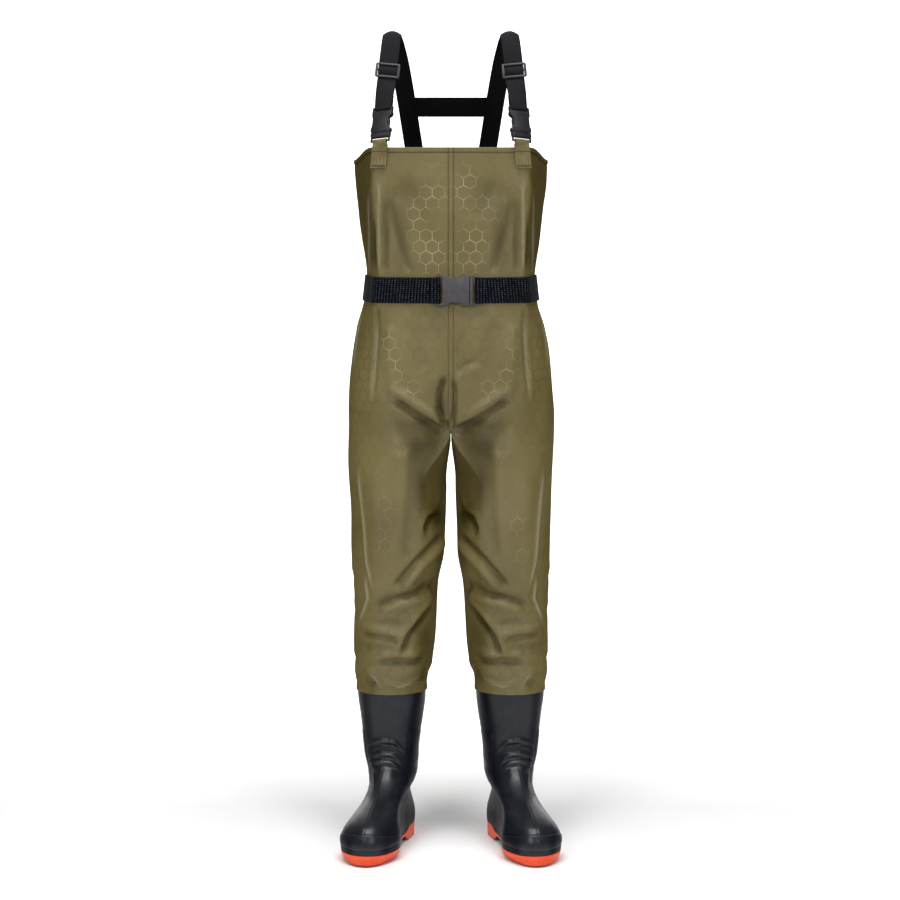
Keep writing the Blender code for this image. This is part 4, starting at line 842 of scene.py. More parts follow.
    # inner wall at half the detail
    r_in = list(range(0, len(rows) - 1, 2)) + [len(rows) - 1]
    pick = np.array([r * cols + q for r in r_in for q in range(0, cols, 2)])
    hc = cols // 2
    count = len(v)
    v_in = v[pick] - nrm[pick] * (2.4 * MM)
    f_in = grid_faces(len(r_in), hc, True, count, False)
    turned = bool((f[0] != grid_faces(len(rows), cols, True)[0]).any())
    faces = f.tolist() + (f_in if turned else f_in[:, ::-1]).tolist()
    for base_o, base_i, way in ((0, count, 1), ((len(rows) - 1) * cols, count + (len(r_in) - 1) * hc, -1)):
        for j in range(hc):
            face = [base_o + 2 * j, base_o + 2 * j + 1, base_o + (2 * j + 2) % cols, base_i + (j + 1) % hc, base_i + j]
            faces.append(face if (way > 0) != turned else face[::-1])
    v = np.concatenate([v, v_in])
    v[:, 0] *= side
    v[:, 1] += SHIFT_Y
    if side < 0:
        faces = [q[::-1] for q in faces]
    zero = np.zeros(len(pick))
    ob = make("boot_upper_%s_rubber" % label, v, faces, BOOT, True, None,
              dict(groove_shade=np.concatenate([np.clip(groove_shade, 0, 0.9), zero]), edge=np.concatenate([np.clip(edge, 0, 0.6), zero]),
                   flank=np.concatenate([smooth(0.45, 0.85, np.abs(nrm[:, 0])), zero + 1])))
    return place(ob, "boot_upper_" + label)


GROOVES = ((22, 27, 6), (44, 49, 6), (176, 181, 5), (194, 199, 5), (212, 217, 5), (230, 235, 5), (248, 253, 4.5), (266, 271, 4))


def sole_piece(label, side):
    ang = np.concatenate([np.linspace(0.06, 1.9, 110), np.linspace(1.9, math.pi - 0.004, 400)[1:]])
    t = 0.150 * (1 - np.cos(ang))
    extra = [e * MM for g in GROOVES for e in (g[0] - 0.35, g[0] + 0.35, g[1] - 0.35, g[1] + 0.35)]
    t = np.array(sorted(set(np.round(np.concatenate([t, extra]), 6))))
    step = np.hypot(np.diff(t), np.diff(PLAN["half_width"](np.degrees(np.arccos(1 - t / 0.150)) * MM)))
    t = t[np.concatenate([[True], step > 0.1 * MM])]
    ang = np.arccos(1 - t / 0.150)
    deg = np.degrees(ang) * MM
    w, c = PLAN["half_width"](deg), PLAN["centre"](deg)
    depth = np.zeros(len(t))
    for a, b, g in GROOVES:
        depth = np.maximum(depth, np.where((t > a * MM) & (t < b * MM), g * MM, 0))
    top, bottom = SOLE["top"](t), SOLE["bottom"](t) + depth
    rim = SOLE["bottom"](t) + depth * (t < 0.240)
    arc = np.concatenate([[0], np.cumsum(np.hypot(np.diff(t), np.diff(w)))])
    toe = smooth(0.175, 0.215, t)
    tooth = np.sin(arc / (3.2 * MM) * 2 * math.pi)
    # side wall rows: share of the height from the top, inset in mm
    wall = ((0.0, 0.6), (0.04, 0.1), (0.16, 0.0), (0.30, 0.1), (0.42, 0.2), (0.55, 0.3), (0.80, 0.8), (0.92, 1.2), (1.0, 2.0))
    lean_w, lean_t = np.sin(ang), -np.cos(ang)
    draft = np.minimum(mix(0.0, 11.0, smooth(0.150, 0.225, t)) * MM, np.maximum(0.30 * w - 2.0 * MM, 0))
    verts, groove_shade, painted_shade = [], [], []
    k = len(t)
    for sg in (1, -1):
        for share, inset in wall:
            push = 0.28 * MM * tooth * toe * smooth(0.36, 0.5, share) * (1 if share < 0.99 else 2.2)
            inn = inset * MM - push
            ww = np.maximum(w - inn * lean_w - draft * share ** 2.0, 0.25 * MM)
            tt = t - inn * lean_t
            zz = mix(top, rim, share) - (0.7 * MM * (tooth > 0) * toe if share > 0.99 else 0)
            zz = np.maximum(zz, 0.0)
            verts.append(boot_place(c + sg * ww, tt, zz))
            # painted shade in the grooves between the teeth
            groove_shade.append(0.40 * smooth(0.1, -0.6, tooth) * toe * (share > 0.4))
            # painted shadow along the lowest wall rows
            painted_shade.append(np.full(k, 0.8 if share > 0.95 else (0.25 if share > 0.9 else 0.0)))
    rows = len(wall)
    across = np.linspace(-1, 1, 13)[1:-1]
    for level, share in ((top - 0.05 * MM, 0), (bottom, 1)):
        for a in across:
            ww = w - (0.6 if share == 0 else 2.0) * MM * lean_w - draft * share
            tt = t - (0.6 if share == 0 else 2.0) * MM * lean_t
            verts.append(boot_place(c + a * np.maximum(ww, 0.25 * MM), tt, np.maximum(level, 0)))
            # top and bottom faces: faint painted shade, the bottom face dark as painted shadow
            groove_shade.append(np.full(k, 0.1))
            painted_shade.append(np.full(k, 0.9 * share))
    v = np.concatenate(verts)

    def line(q):
        return np.arange(k) + q * k
    n = len(across)
    order = [line(q) for q in range(rows)] + [line(2 * rows + n + q) for q in reversed(range(n))] \
        + [line(rows + q) for q in reversed(range(rows))] + [line(2 * rows + q) for q in range(n)]
    faces = []
    for p, q in zip(order, order[1:] + order[:1]):
        faces.append(np.stack([p[:-1], q[:-1], q[1:], p[1:]], -1))
    faces = np.concatenate(faces).tolist()
    faces.append([int(q[0]) for q in reversed(order)])
    faces.append([int(q[-1]) for q in order])
    v[:, 0] *= side
    v[:, 1] += SHIFT_Y
    mesh_faces = [q[::-1] for q in faces] if side > 0 else faces
    ob = make("sole_%s_rubber" % label, v, mesh_faces, SOLE_ORANGE, True, None,
              dict(groove_shade=np.clip(np.concatenate(groove_shade), 0, 1), painted_shade=np.concatenate(painted_shade)))
    bm = bmesh.new()
    bm.from_mesh(ob.data)
    bmesh.ops.recalc_face_normals(bm, faces=bm.faces)
    bm.to_mesh(ob.data)
    bm.free()
    ob.data.set_sharp_from_angle(angle=math.radians(38))
    return place(ob, "sole_" + label)


def felt_material():
    m = Mat("insole_felt", roughness=0.95, specular=0.2)
    fine, wide = m.noise(1400.0, 4.0, 0.7), m.noise(60.0, 2.0, 0.5)
    tone = m.mixc(m.ramp(fine, 0.3, 0.7), lin(44, 44, 46), lin(78, 78, 80))
    tone = m.mixc(m.ramp(wide, 0.3, 0.7, 0.0, 0.3), tone, lin(34, 34, 36))
    return m.set(Base_Color=tone, Normal=m.bump(fine, 0.4, 0.0006))


FELT = felt_material()
for label, side in SIDES:
    boot_piece(label, side)
    sole_piece(label, side)
    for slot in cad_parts["insole_" + label].material_slots:
        slot.material = FELT


# ------------------------------------------------------------------ webbing
def web_material(name, dark, light, pitch_u, pitch_v, chevron, share):
    m = Mat(name, roughness=0.78, specular=0.14)
    u, v, _ = m.split(m.uv())
    tri = m.math("PINGPONG", m.math("ADD", u, 1.0), chevron)
    run = m.math("ADD", m.math("MULTIPLY", v, 2 * math.pi / pitch_v), m.math("MULTIPLY", tri, 2 * math.pi / pitch_v * 0.8))
    rib = m.math("SINE", run)
    warp = m.math("SINE", m.math("MULTIPLY", u, 2 * math.pi / pitch_u))
    cell = m.ramp(m.math("MULTIPLY", rib, warp), -0.4, 0.9)
    wide = m.noise(45.0, 3.0, 0.6)
    fuzz = m.noise(2600.0, 2.0, 0.6)
    tone = m.mixc(m.math("MULTIPLY", cell, m.ramp(wide, 0.25, 0.75, share * 0.6, share)), dark, light)
    tone = m.mixc(m.ramp(fuzz, 0.4, 0.8, 0.0, 0.35), tone, light)
    # painted shade: the webbing's inner face turned near black
    tone = m.mixc(m.att("painted_shade"), tone, lin(3, 3, 4))
    weave = m.bump(m.math("ADD", cell, m.math("MULTIPLY", fuzz, 0.3)), 0.55, 0.0005)
    return m.set(Base_Color=tone, Normal=weave)


def belt_material():
    m = Mat("belt_webbing", roughness=0.85, specular=0.06)
    u, v, _ = m.split(m.uv())
    rib = m.math("SINE", m.math("MULTIPLY", v, 2 * math.pi / (5.4 * MM)))
    slant = m.math("ADD", m.math("MULTIPLY", u, 2 * math.pi / (3.4 * MM)), m.math("MULTIPLY", v, 2 * math.pi / (5.4 * MM)))
    dash = m.ramp(m.math("SINE", slant), -0.1, 0.8)
    fleck = m.noise(420.0, 2.0, 0.6)
    wide = m.noise(40.0, 3.0, 0.6)
    lit = m.math("MULTIPLY", m.ramp(rib, -0.1, 0.9), m.math("MULTIPLY", dash, m.ramp(fleck, 0.3, 0.65)))
    lit = m.math("MULTIPLY", lit, m.ramp(wide, 0.25, 0.75, 0.5, 1.0))
    tone = m.mixc(lit, lin(3, 5, 9), lin(92, 100, 108))
    # painted shade on the inner face; the belt's mesh passes it as zero
    tone = m.mixc(m.att("painted_shade"), tone, lin(3, 3, 4))
    height = m.math("ADD", m.math("MULTIPLY", rib, 0.5), dash)
    return m.set(Base_Color=tone, Normal=m.bump(height, 0.5, 0.0005))


BELT_WEB = belt_material()
STRAP_WEB = web_material("strap_webbing", lin(10, 10, 12), lin(44, 43, 49), 1.7 * MM, 2.0 * MM, 4.2 * MM, 0.8)


def buckle_material(name, low, high):
    m = Mat(name, roughness=0.42, specular=0.5)
    wide, grain = m.noise(70.0, 3.0, 0.6), m.noise(1700.0, 2.0, 0.5)
    tone = m.mixc(m.ramp(wide, 0.3, 0.7), low, high)
    rough = m.ramp(m.noise(240.0, 3.0, 0.6), 0.25, 0.8, 0.36, 0.5)
    return m.set(Base_Color=tone, Roughness=rough, Normal=m.bump(grain, 0.12, 0.0003))


BUCKLE = buckle_material("belt_buckle_plastic", lin(54, 51, 54), lin(64, 61, 64))
BUCKLE_DARK = buckle_material("strap_buckle_plastic", lin(24, 23, 26), lin(32, 30, 34))

WEB_PROFILE = [(-0.5, -0.2), (-0.492, -0.42), (-0.475, -0.5), (-0.3, -0.5), (-0.1, -0.5), (0.1, -0.5), (0.3, -0.5), (0.475, -0.5),
               (0.492, -0.42), (0.5, -0.2), (0.5, 0.2), (0.492, 0.42), (0.475, 0.5), (0.3, 0.5), (0.1, 0.5), (-0.1, 0.5),
               (-0.3, 0.5), (-0.475, 0.5), (-0.492, 0.42), (-0.5, 0.2)]


def soften(path, rounds=2):
    """Corner cutting that keeps both ends; rows may hold more than three columns."""
    p = np.asarray(path, float)
    for _ in range(rounds):
        q = np.empty((2 * len(p) - 2, p.shape[1]))
        q[0::2] = 0.75 * p[:-1] + 0.25 * p[1:]
        q[1::2] = 0.25 * p[:-1] + 0.75 * p[1:]
        q[0], q[-1] = p[0], p[-1]
        p = q
    return p


def divide(path, step):
    p = np.asarray(path, float)
    d = np.concatenate([[0], np.cumsum(np.linalg.norm(np.diff(p[:, :3], axis=0), axis=1))])
    n = max(2, int(round(d[-1] / step)) + 1)
    q = np.linspace(0, d[-1], n)
    return np.stack([np.interp(q, d, p[:, k]) for k in range(p.shape[1])], -1)


def ribbon(path, across, thick, width=None, wave=0.0, skew=False):
    """Webbing along a path; across gives the width direction, or the whole width when width is None."""
    p, w = np.asarray(path, float), np.asarray(across, float)
    t = np.gradient(p, axis=0)
    t /= np.linalg.norm(t, axis=1, keepdims=True)
    if width is not None:
        w = w if skew else w - t * np.sum(w * t, 1, keepdims=True)
        w = w / np.linalg.norm(w, axis=1, keepdims=True) * width
    n = np.cross(t, w)
    n /= np.linalg.norm(n, axis=1, keepdims=True)
    run = np.concatenate([[0], np.cumsum(np.linalg.norm(np.diff(p, axis=0), axis=1))])
    size = np.linalg.norm(w, axis=1).mean()
    verts, uv = [], []
    for a, b in WEB_PROFILE:
        scal = 1 + (wave if abs(a) > 0.47 else 0) * np.sin(run / (2.2 * MM) * 2 * math.pi)
        verts.append(p + w * (a * scal)[:, None] + n * (b * thick))
        uv.append(np.stack([np.full(len(p), a * size), run], -1))
    k, m = len(p), len(WEB_PROFILE)
    v, uv = np.concatenate(verts), np.concatenate(uv)
    faces = []
    for j in range(m):
        a, b = np.arange(k - 1) + j * k, np.arange(k - 1) + ((j + 1) % m) * k
        faces += np.stack([a, b, b + 1, a + 1], -1).tolist()
    faces.append([j * k for j in reversed(range(m))])
    faces.append([j * k + k - 1 for j in range(m)])
    # mask for the painted shade on the webbing's inner face, half on its edges
    painted_shade = np.concatenate([np.full(k, 1.0 if b < -0.45 else (0.5 if b < 0 else 0.0)) for a, b in WEB_PROFILE])
    return v, faces, uv, painted_shade


def fix_normals(ob, sharp=None):
    bm = bmesh.new()
    bm.from_mesh(ob.data)
    bmesh.ops.recalc_face_normals(bm, faces=bm.faces)
    bm.to_mesh(ob.data)
    bm.free()
    if sharp:
        ob.data.set_sharp_from_angle(angle=math.radians(sharp))
    return ob


def mirror(v, side):
    v = np.array(v, float)
    v[:, 0] *= side
    v[:, 1] += SHIFT_Y
    return v


# ------------------------------------------------------------------ buckle kit
def rounded(pts, r, n=4):
    """A closed outline with its corners rounded."""
    out = []
    k = len(pts)
    for i in range(k):
        a, p, b = (np.array(pts[(i + q) % k][:2], float) for q in (-1, 0, 1))
        rr = pts[i][2] if len(pts[i]) > 2 else r
        da, db = a - p, b - p
        la, lb = np.linalg.norm(da), np.linalg.norm(db)
        ra, rb = min(rr, 0.48 * la), min(rr, 0.48 * lb)
        p0, p1 = p + da / la * ra, p + db / lb * rb
        for s in np.linspace(0, 1, n + 1):
            out.append((1 - s) ** 2 * p0 + 2 * s * (1 - s) * p + s ** 2 * p1)
    return np.array(out)


def plate(frame_, outline, n0, n1, bevel):
    """A plate with rounded edges and the given outline, in a frame of u, v and normal."""
    o, u, v, n = (np.array(q, float) for q in frame_)
    p = np.asarray(outline, float)
    a, b = np.roll(p, 1, 0), np.roll(p, -1, 0)
    area = np.sum(p[:, 0] * b[:, 1] - b[:, 0] * p[:, 1])
    t = b - a
    t /= np.maximum(np.linalg.norm(t, axis=1, keepdims=True), 1e-9)
    inward = np.stack([-t[:, 1], t[:, 0]], -1) * (1 if area > 0 else -1)
    rings = []
    for inset, h in ((bevel, n0), (bevel * 0.3, n0 + bevel * 0.3), (0, n0 + bevel), (0, n1 - bevel),
                     (bevel * 0.3, n1 - bevel * 0.3), (bevel, n1)):
        q = p + inward * inset
        rings.append(o + q[:, :1] * u + q[:, 1:] * v + h * n)
    k, m = len(p), len(rings)
    verts = np.concatenate(rings)
    faces = [[r * k + i, r * k + (i + 1) % k, (r + 1) * k + (i + 1) % k, (r + 1) * k + i] for r in range(m - 1) for i in range(k)]
    faces += [list(reversed(range(k))), [(m - 1) * k + i for i in range(k)]]
    return verts, faces


def bar_rod(frame_, mid, radius, v0, v1, sides=14):
    o, u, v, n = (np.array(q, float) for q in frame_)
    ends = ((v0, 0.75), (v0 + 0.4 * MM, 1), (v1 - 0.4 * MM, 1), (v1, 0.75))
    verts = [o + (mid[0] + radius * s * math.cos(2 * math.pi * k / sides)) * u
             + (mid[1] + radius * s * math.sin(2 * math.pi * k / sides)) * n + e * v
             for e, s in ends for k in range(sides)]
    faces = [[r * sides + k, r * sides + (k + 1) % sides, (r + 1) * sides + (k + 1) % sides, (r + 1) * sides + k]
             for r in range(3) for k in range(sides)]
    faces += [list(reversed(range(sides))), [3 * sides + k for k in range(sides)]]
    return np.array(verts), faces


def weld(name, solids, mat, sharp=32, shift=True):
    verts, faces, base = [], [], 0
    for v, f in solids:
        verts.append(np.asarray(v, float))
        faces += [[base + int(i) for i in q] for q in f]
        base += len(v)
    v = np.concatenate(verts)
    if shift:
        v[:, 1] += SHIFT_Y
    return fix_normals(make(name, v, faces, mat), sharp)


def release_buckle(names, frame_, b, mat, notches):
    """Closed side-release buckle: female half from its bar to the joint, then the male half."""
    half, rail, bar, win, end = b["width"] / 2, b["rail"], b["bar"], b["window"], b["female_len"]
    body0 = bar + win
    x0, x1 = b["notch0"], b["notch1"]
    lo, hi = notches

    def edge(depth):
        return [(x0 - 1.0 * MM, half, 1.5 * MM), (x0 + 3.2 * MM, half - depth, 2.2 * MM),
                (x1 - 3.2 * MM, half - depth, 2.2 * MM), (x1 + 1.0 * MM, half, 1.5 * MM)]
    up = [(body0, half, 2 * MM)] + edge(hi) + [(end, half, 2.4 * MM)]
    dn = [(a, -q, r) for a, q, r in reversed([(body0, half, 2 * MM)] + edge(lo) + [(end, half, 2.4 * MM)])]
    outline = rounded(up + dn, 2 * MM)
    lip = b["lip"]
    face = rounded([(body0 - lip, half, 2 * MM)] + up[1:] + dn[:-1] + [(body0 - lip, -half, 2 * MM)], 2 * MM)
    nb, nf = b["n_back"], b["n_front"]
    cav0, cav1 = b["cavity_n0"], b["cavity_n1"]
    solids = [plate(frame_, face, cav1, nf, 0.9 * MM), plate(frame_, outline, nb, cav0, 0.6 * MM)]
    solid_end = b["cavity_start"]
    core = rounded([(body0 + 0.6 * MM, half - 0.7 * MM), (solid_end, half - 0.7 * MM), (solid_end, -half + 0.7 * MM), (body0 + 0.6 * MM, -half + 0.7 * MM)], 0.5 * MM)
    solids.append(plate(frame_, core, cav0 - 0.4 * MM, cav1 + 0.4 * MM, 0.2 * MM))
    for s in (-1, 1):
        # side posts at the mouth, rails to the bar, and the fillets in front of the webbing
        q = [(x1 + 2.2 * MM, s * (half - 0.8 * MM)), (end - 0.8 * MM, s * (half - 0.8 * MM)),
             (end - 0.8 * MM, s * (half - 2.6 * MM)), (x1 + 2.2 * MM, s * (half - 2.6 * MM))]
        solids.append(plate(frame_, rounded(q, 0.4 * MM), cav0 - 0.4 * MM, cav1 + 0.4 * MM, 0.2 * MM))
        r = [(-0.6 * MM, s * (half - 0.1 * MM), 1.4 * MM), (body0 + 3 * MM, s * (half - 0.1 * MM)), (body0 + 3 * MM, s * (half - rail)),
             (-0.6 * MM, s * (half - rail), 0.8 * MM)]
        solids.append(plate(frame_, rounded(r, 0.5 * MM), -2.2 * MM, min(nf - 1.2 * MM, 4.6 * MM), 0.6 * MM))
        e = b["ear"]
        f = [(1.5 * MM, s * (half - 0.3 * MM), 1 * MM), (body0 + 2 * MM, s * (half - 0.3 * MM)), (body0 + 2 * MM, s * (half - e)),
             (body0 - 0.5 * MM, s * (half - e), 3 * MM), (body0 - 3 * MM, s * (half - rail - 0.4 * MM), 3 * MM)]
        solids.append(plate(frame_, rounded(f, 0.5 * MM), b["ear_n"], nf - 0.5 * MM, 0.5 * MM))
    solids.append(bar_rod(frame_, (bar / 2, 0), 1.75 * MM, -half + 0.6 * MM, half - 0.6 * MM))
    female = weld(names[0] + "_moulded", solids, mat)
    base0 = end + 0.35 * MM
    base1, mh = base0 + b["base"], half - 0.8 * MM
    last = base1 + win
    m_out = rounded([(base0, mh, 0.8 * MM), (base1 + lip, mh, 2 * MM), (base1 + lip, -mh, 2 * MM), (base0, -mh, 0.8 * MM)], 1 * MM)
    solids = [plate(frame_, m_out, nb + 0.3 * MM, nf - 0.5 * MM, 1.1 * MM)]
    for s in (-1, 1):
        r = [(base1 - 3 * MM, s * (mh - 0.1 * MM)), (last + bar + 0.6 * MM, s * (mh - 0.1 * MM), 1.6 * MM),
             (last + bar + 0.6 * MM, s * (mh - rail), 0.8 * MM), (base1 - 3 * MM, s * (mh - rail))]
        solids.append(plate(frame_, rounded(r, 0.4 * MM), -2.1 * MM, min(nf - 1.6 * MM, 2.4 * MM), 0.7 * MM))
        out = b["cavity"] - 0.4 * MM
        tip, h0, h1 = solid_end + 1.5 * MM, x0 + 2 * MM, x1 - 2.5 * MM
        arm = [(base0 + 1 * MM, out - 2.2 * MM), (h1 + 1.2 * MM, out - 2.2 * MM), (h1, out + 0.2 * MM), (h0 + 4 * MM, out + 0.4 * MM, 5 * MM), (tip, out - 4.5 * MM, 2 * MM),
               (tip, out - 7 * MM, 1 * MM), (h0 + 3 * MM, out - 5.5 * MM), (base0 + 1 * MM, out - 5.5 * MM)]
        solids.append(plate(frame_, rounded([(q[0], s * q[1], *q[2:]) for q in arm], 0.7 * MM), cav0 + 0.4 * MM, cav1 - 0.4 * MM, 0.5 * MM))
    solids.append(bar_rod(frame_, (last + bar / 2, 0), 1.75 * MM, -mh + 0.6 * MM, mh - 0.6 * MM))
    male = weld(names[1] + "_moulded", solids, mat)
    place(female, names[0])
    place(male, names[1])
    return last + bar / 2


# ------------------------------------------------------------------ belt
BELT_BUCKLE = dict(width=52 * MM, rail=2.4 * MM, bar=4 * MM, window=6 * MM, female_len=56.5 * MM, base=6 * MM,
                   n_back=-3.6 * MM, n_front=6.2 * MM, cavity=22 * MM, cavity_n0=-1.6 * MM, cavity_n1=4.0 * MM,
                   cavity_start=17 * MM, notch0=20 * MM, notch1=43 * MM, ear=7.5 * MM, ear_n=4.7 * MM, lip=0.0)
BELT_X, BELT_BAR_Y = -24.5 * MM, -0.121712
BELT_Z0, BELT_Z1, BELT_MID = 0.9775, 1.0225, 1.000
BELT_LIFT, BELT_LOOP = 2.3 * MM, 3.15 * MM
belt_frame = ((BELT_X, BELT_BAR_Y, BELT_MID), (1, 0, 0), (0, 0, 1), (0, -1, 0))
belt_reach = release_buckle(("belt_buckle_female", "belt_buckle_male"), belt_frame, BELT_BUCKLE, BUCKLE, (5.5 * MM, 5.5 * MM))


def belt_piece():
    female, male = BELT_X + 2 * MM, BELT_X + belt_reach
    low, high, keep = [], [], None
    for z, out in ((BELT_Z0, low), (BELT_Z1, high)):
        s = np.linspace(0, 16, 261)
        x, y = torso(np.full_like(s, z), s)
        tx, ty = np.gradient(x), np.gradient(y)
        n = np.stack([ty, -tx], -1)
        n /= np.linalg.norm(n, axis=1, keepdims=True)
        p = np.stack([x, y], -1) + n * (BELT_LIFT * (1 + 0.22 * np.sin(s * 4.1 + 1) * smooth(1, 3, s)))[:, None]
        run = np.concatenate([p, p[:-1][::-1] * np.array([-1, 1])])

        def loop(bar_x, way):
            q = np.linspace(math.pi / 2, 1.5 * math.pi, 13)
            arc = np.stack([bar_x + way * BELT_LOOP * np.cos(q), BELT_BAR_Y + BELT_LOOP * np.sin(q)], -1)
            back = np.array([[bar_x + way * 5 * MM, BELT_BAR_Y - BELT_LOOP + 0.1 * MM], [bar_x + way * 13 * MM, BELT_BAR_Y - BELT_LOOP + 1.2 * MM]])
            return np.concatenate([arc, back])[::-1]
        if keep is None:
            first = np.arange(len(run)) < 260
            keep = (run[:, 1] > 0) | first & (run[:, 0] > male + 9 * MM) | ~first & (run[:, 0] < female - 9 * MM)
        line = np.concatenate([loop(male, 1), run[keep], loop(female, -1)[::-1]])
        out.append(np.concatenate([line, np.full((len(line), 1), z)], 1))
    low, high = soften(low[0], 1), soften(high[0], 1)
    both = divide(np.concatenate([(low + high) / 2, high - low], 1), 1.6 * MM)
    v, f, uv, painted_shade = ribbon(both[:, :3], both[:, 3:], 2.0 * MM, None, 0.004)
    ob = make("belt_web", mirror(v, 1), f, BELT_WEB, True, uv, dict(painted_shade=painted_shade * 0))
    place(fix_normals(ob, 50), "belt")


belt_piece()

# ------------------------------------------------------------------ suspenders
STRAP_X = table(("run", "x"), [(1260, 123), (1410, 108), (1455, 103.5), (1468, 99.5), (1654, 68), (1710, 60.5), (1768, 60.5)])["x"]
SHOULDER_Z, SHOULDER_Y, SHOULDER_R = 1.454, -15 * MM, 50 * MM
BAR_POINT, BUCKLE_TURN = (-122.5 * MM, 1.260), math.radians(28.0)
STRAP_END_Z, BACK_PANEL_Y, SLIDER_UP = 1.152, 118.5 * MM, 71 * MM
FRONT_ANGLE, BACK_ANGLE = 1.194433, 1.949915
WEB_WIDTH, WEB_THICK, TAB_WIDTH, TAB_THICK = 33 * MM, 1.6 * MM, 27 * MM, 1.2 * MM
STRAP_LOOP = 1.75 * MM + 0.4 * MM + WEB_THICK / 2
STRAP_BUCKLE = dict(width=39 * MM, rail=2.4 * MM, bar=4 * MM, window=5.5 * MM, female_len=47 * MM, base=7.5 * MM,
                    n_back=-4.4 * MM, n_front=4.8 * MM, cavity=16 * MM, cavity_n0=-2.4 * MM, cavity_n1=2.6 * MM,
                    cavity_start=14 * MM, notch0=17 * MM, notch1=39 * MM, ear=4.5 * MM, ear_n=3.9 * MM, lip=1.6 * MM)
STRAP_REACH = 47 * MM + 0.35 * MM + 7.5 * MM + 5.5 * MM


def front_frame(up, turn=0.0):
    d = Vector((0, math.cos(FRONT_ANGLE), math.sin(FRONT_ANGLE)))
    base = Vector((float(STRAP_X(BAR_POINT[1])), BAR_POINT[0], BAR_POINT[1]))
    top_z = SHOULDER_Z - 46 * MM
    drift = (float(STRAP_X(top_z)) - base.x) / (top_z - base.z) * d.z
    d = Vector((drift, d.y, d.z)).normalized()
    side = Vector((1, 0, 0))
    side = (side - d * side.dot(d)).normalized()
    outward = d.cross(side)
    if outward.y > 0:
        outward = -outward
    c, s = math.cos(turn), math.sin(turn)
    return base + d * up, -d, side * c - outward * s, outward * c + side * s


def flip(frame_, side):
    return tuple(Vector((side * p.x, p.y, p.z)) for p in frame_)


def strap_path():
    o, down, across, out = front_frame(STRAP_REACH, BUCKLE_TURN)
    path = []

    def at(a, b):
        p = o - down * a + out * b
        path.append((*p, *across))
    at(24 * MM, -STRAP_LOOP + 0.6 * MM)
    at(4 * MM, -STRAP_LOOP)
    for k in range(9):
        q = -math.pi / 2 + math.pi * k / 8
        at(-STRAP_LOOP * math.cos(q), STRAP_LOOP * math.sin(q))
    wave, pitch, flat = 2.7 * MM, 11.75 * MM, 2.65 * MM
    at(8 * MM, STRAP_LOOP)
    o, down, across, out = front_frame(STRAP_REACH)
    at(SLIDER_UP - pitch - 16 * MM, STRAP_LOOP)
    for bar, sign in ((-pitch, -1), (0, 1), (pitch, -1)):
        for e in (-flat, flat):
            at(SLIDER_UP + bar + e, STRAP_LOOP + sign * wave)
    cy, cz = SHOULDER_Y, SHOULDER_Z - SHOULDER_R
    start, stop = FRONT_ANGLE + math.pi / 2, BACK_ANGLE + math.pi / 2 - math.pi
    for k in range(17):
        q = start + (stop - start) * k / 16
        y, z = cy + SHOULDER_R * math.cos(q), cz + SHOULDER_R * math.sin(q)
        path.append((float(STRAP_X(2 * SHOULDER_Z - z if q < math.pi / 2 else z)), y, z, 1, 0, 0))
    tail = path[-1]
    by, bz = BACK_PANEL_Y, Z_TOP_BACK + 8 * MM
    for k in (1, 2, 3, 4, 5, 6):
        y, z = mix(tail[1], by, k / 6), mix(tail[2], bz, k / 6)
        path.append((float(STRAP_X(2 * SHOULDER_Z - z)), y, z, 1, 0, 0))
    path.append((float(STRAP_X(2 * SHOULDER_Z - 1.18)), BACK_PANEL_Y + 0.6 * MM, 1.18, 1, 0, 0))
    path.append((float(STRAP_X(2 * SHOULDER_Z - STRAP_END_Z)), BACK_PANEL_Y + 0.6 * MM, STRAP_END_Z, 1, 0, 0))
    return path


STRAP_PATH = strap_path()


def stitches(points, normals, along, length, width, lift):
    """Short thread bars: centre, outward normal and running direction of each."""
    verts, faces = [], []
    shape = ((-0.5, 0, -0.5), (-0.28, -0.5, 0.2), (-0.28, 0.5, 0.2), (0.28, -0.5, 0.2), (0.28, 0.5, 0.2), (0.5, 0, -0.5), (0, 0, 0.5))
    tri = ((0, 1, 2), (1, 6, 2), (1, 3, 6), (2, 6, 4), (3, 4, 6), (3, 5, 4), (0, 5, 3, 1), (0, 2, 4, 5))
    for p, n, t in zip(points, normals, along):
        n, t = np.asarray(n, float), np.asarray(t, float)
        w = np.cross(n, t)
        base = len(verts)
        verts += [np.asarray(p) + t * a * length + w * b * width + n * (lift + c * width) for a, b, c in shape]
        faces += [[base + i for i in q] for q in tri]
    return np.array(verts), faces


def thread_material(name, tone):
    m = Mat(name, roughness=0.7, specular=0.3)
    n = m.noise(3000.0, 2.0, 0.6)
    dark = tuple(c * 0.6 for c in tone[:3]) + (1.0,)
    return m.set(Base_Color=m.mixc(m.ramp(n, 0.3, 0.7), dark, tone), Normal=m.bump(n, 0.3, 0.0002))


THREAD = thread_material("olive_thread", lin(70, 62, 36))
THREAD_BLACK = thread_material("black_thread", lin(24, 24, 26))


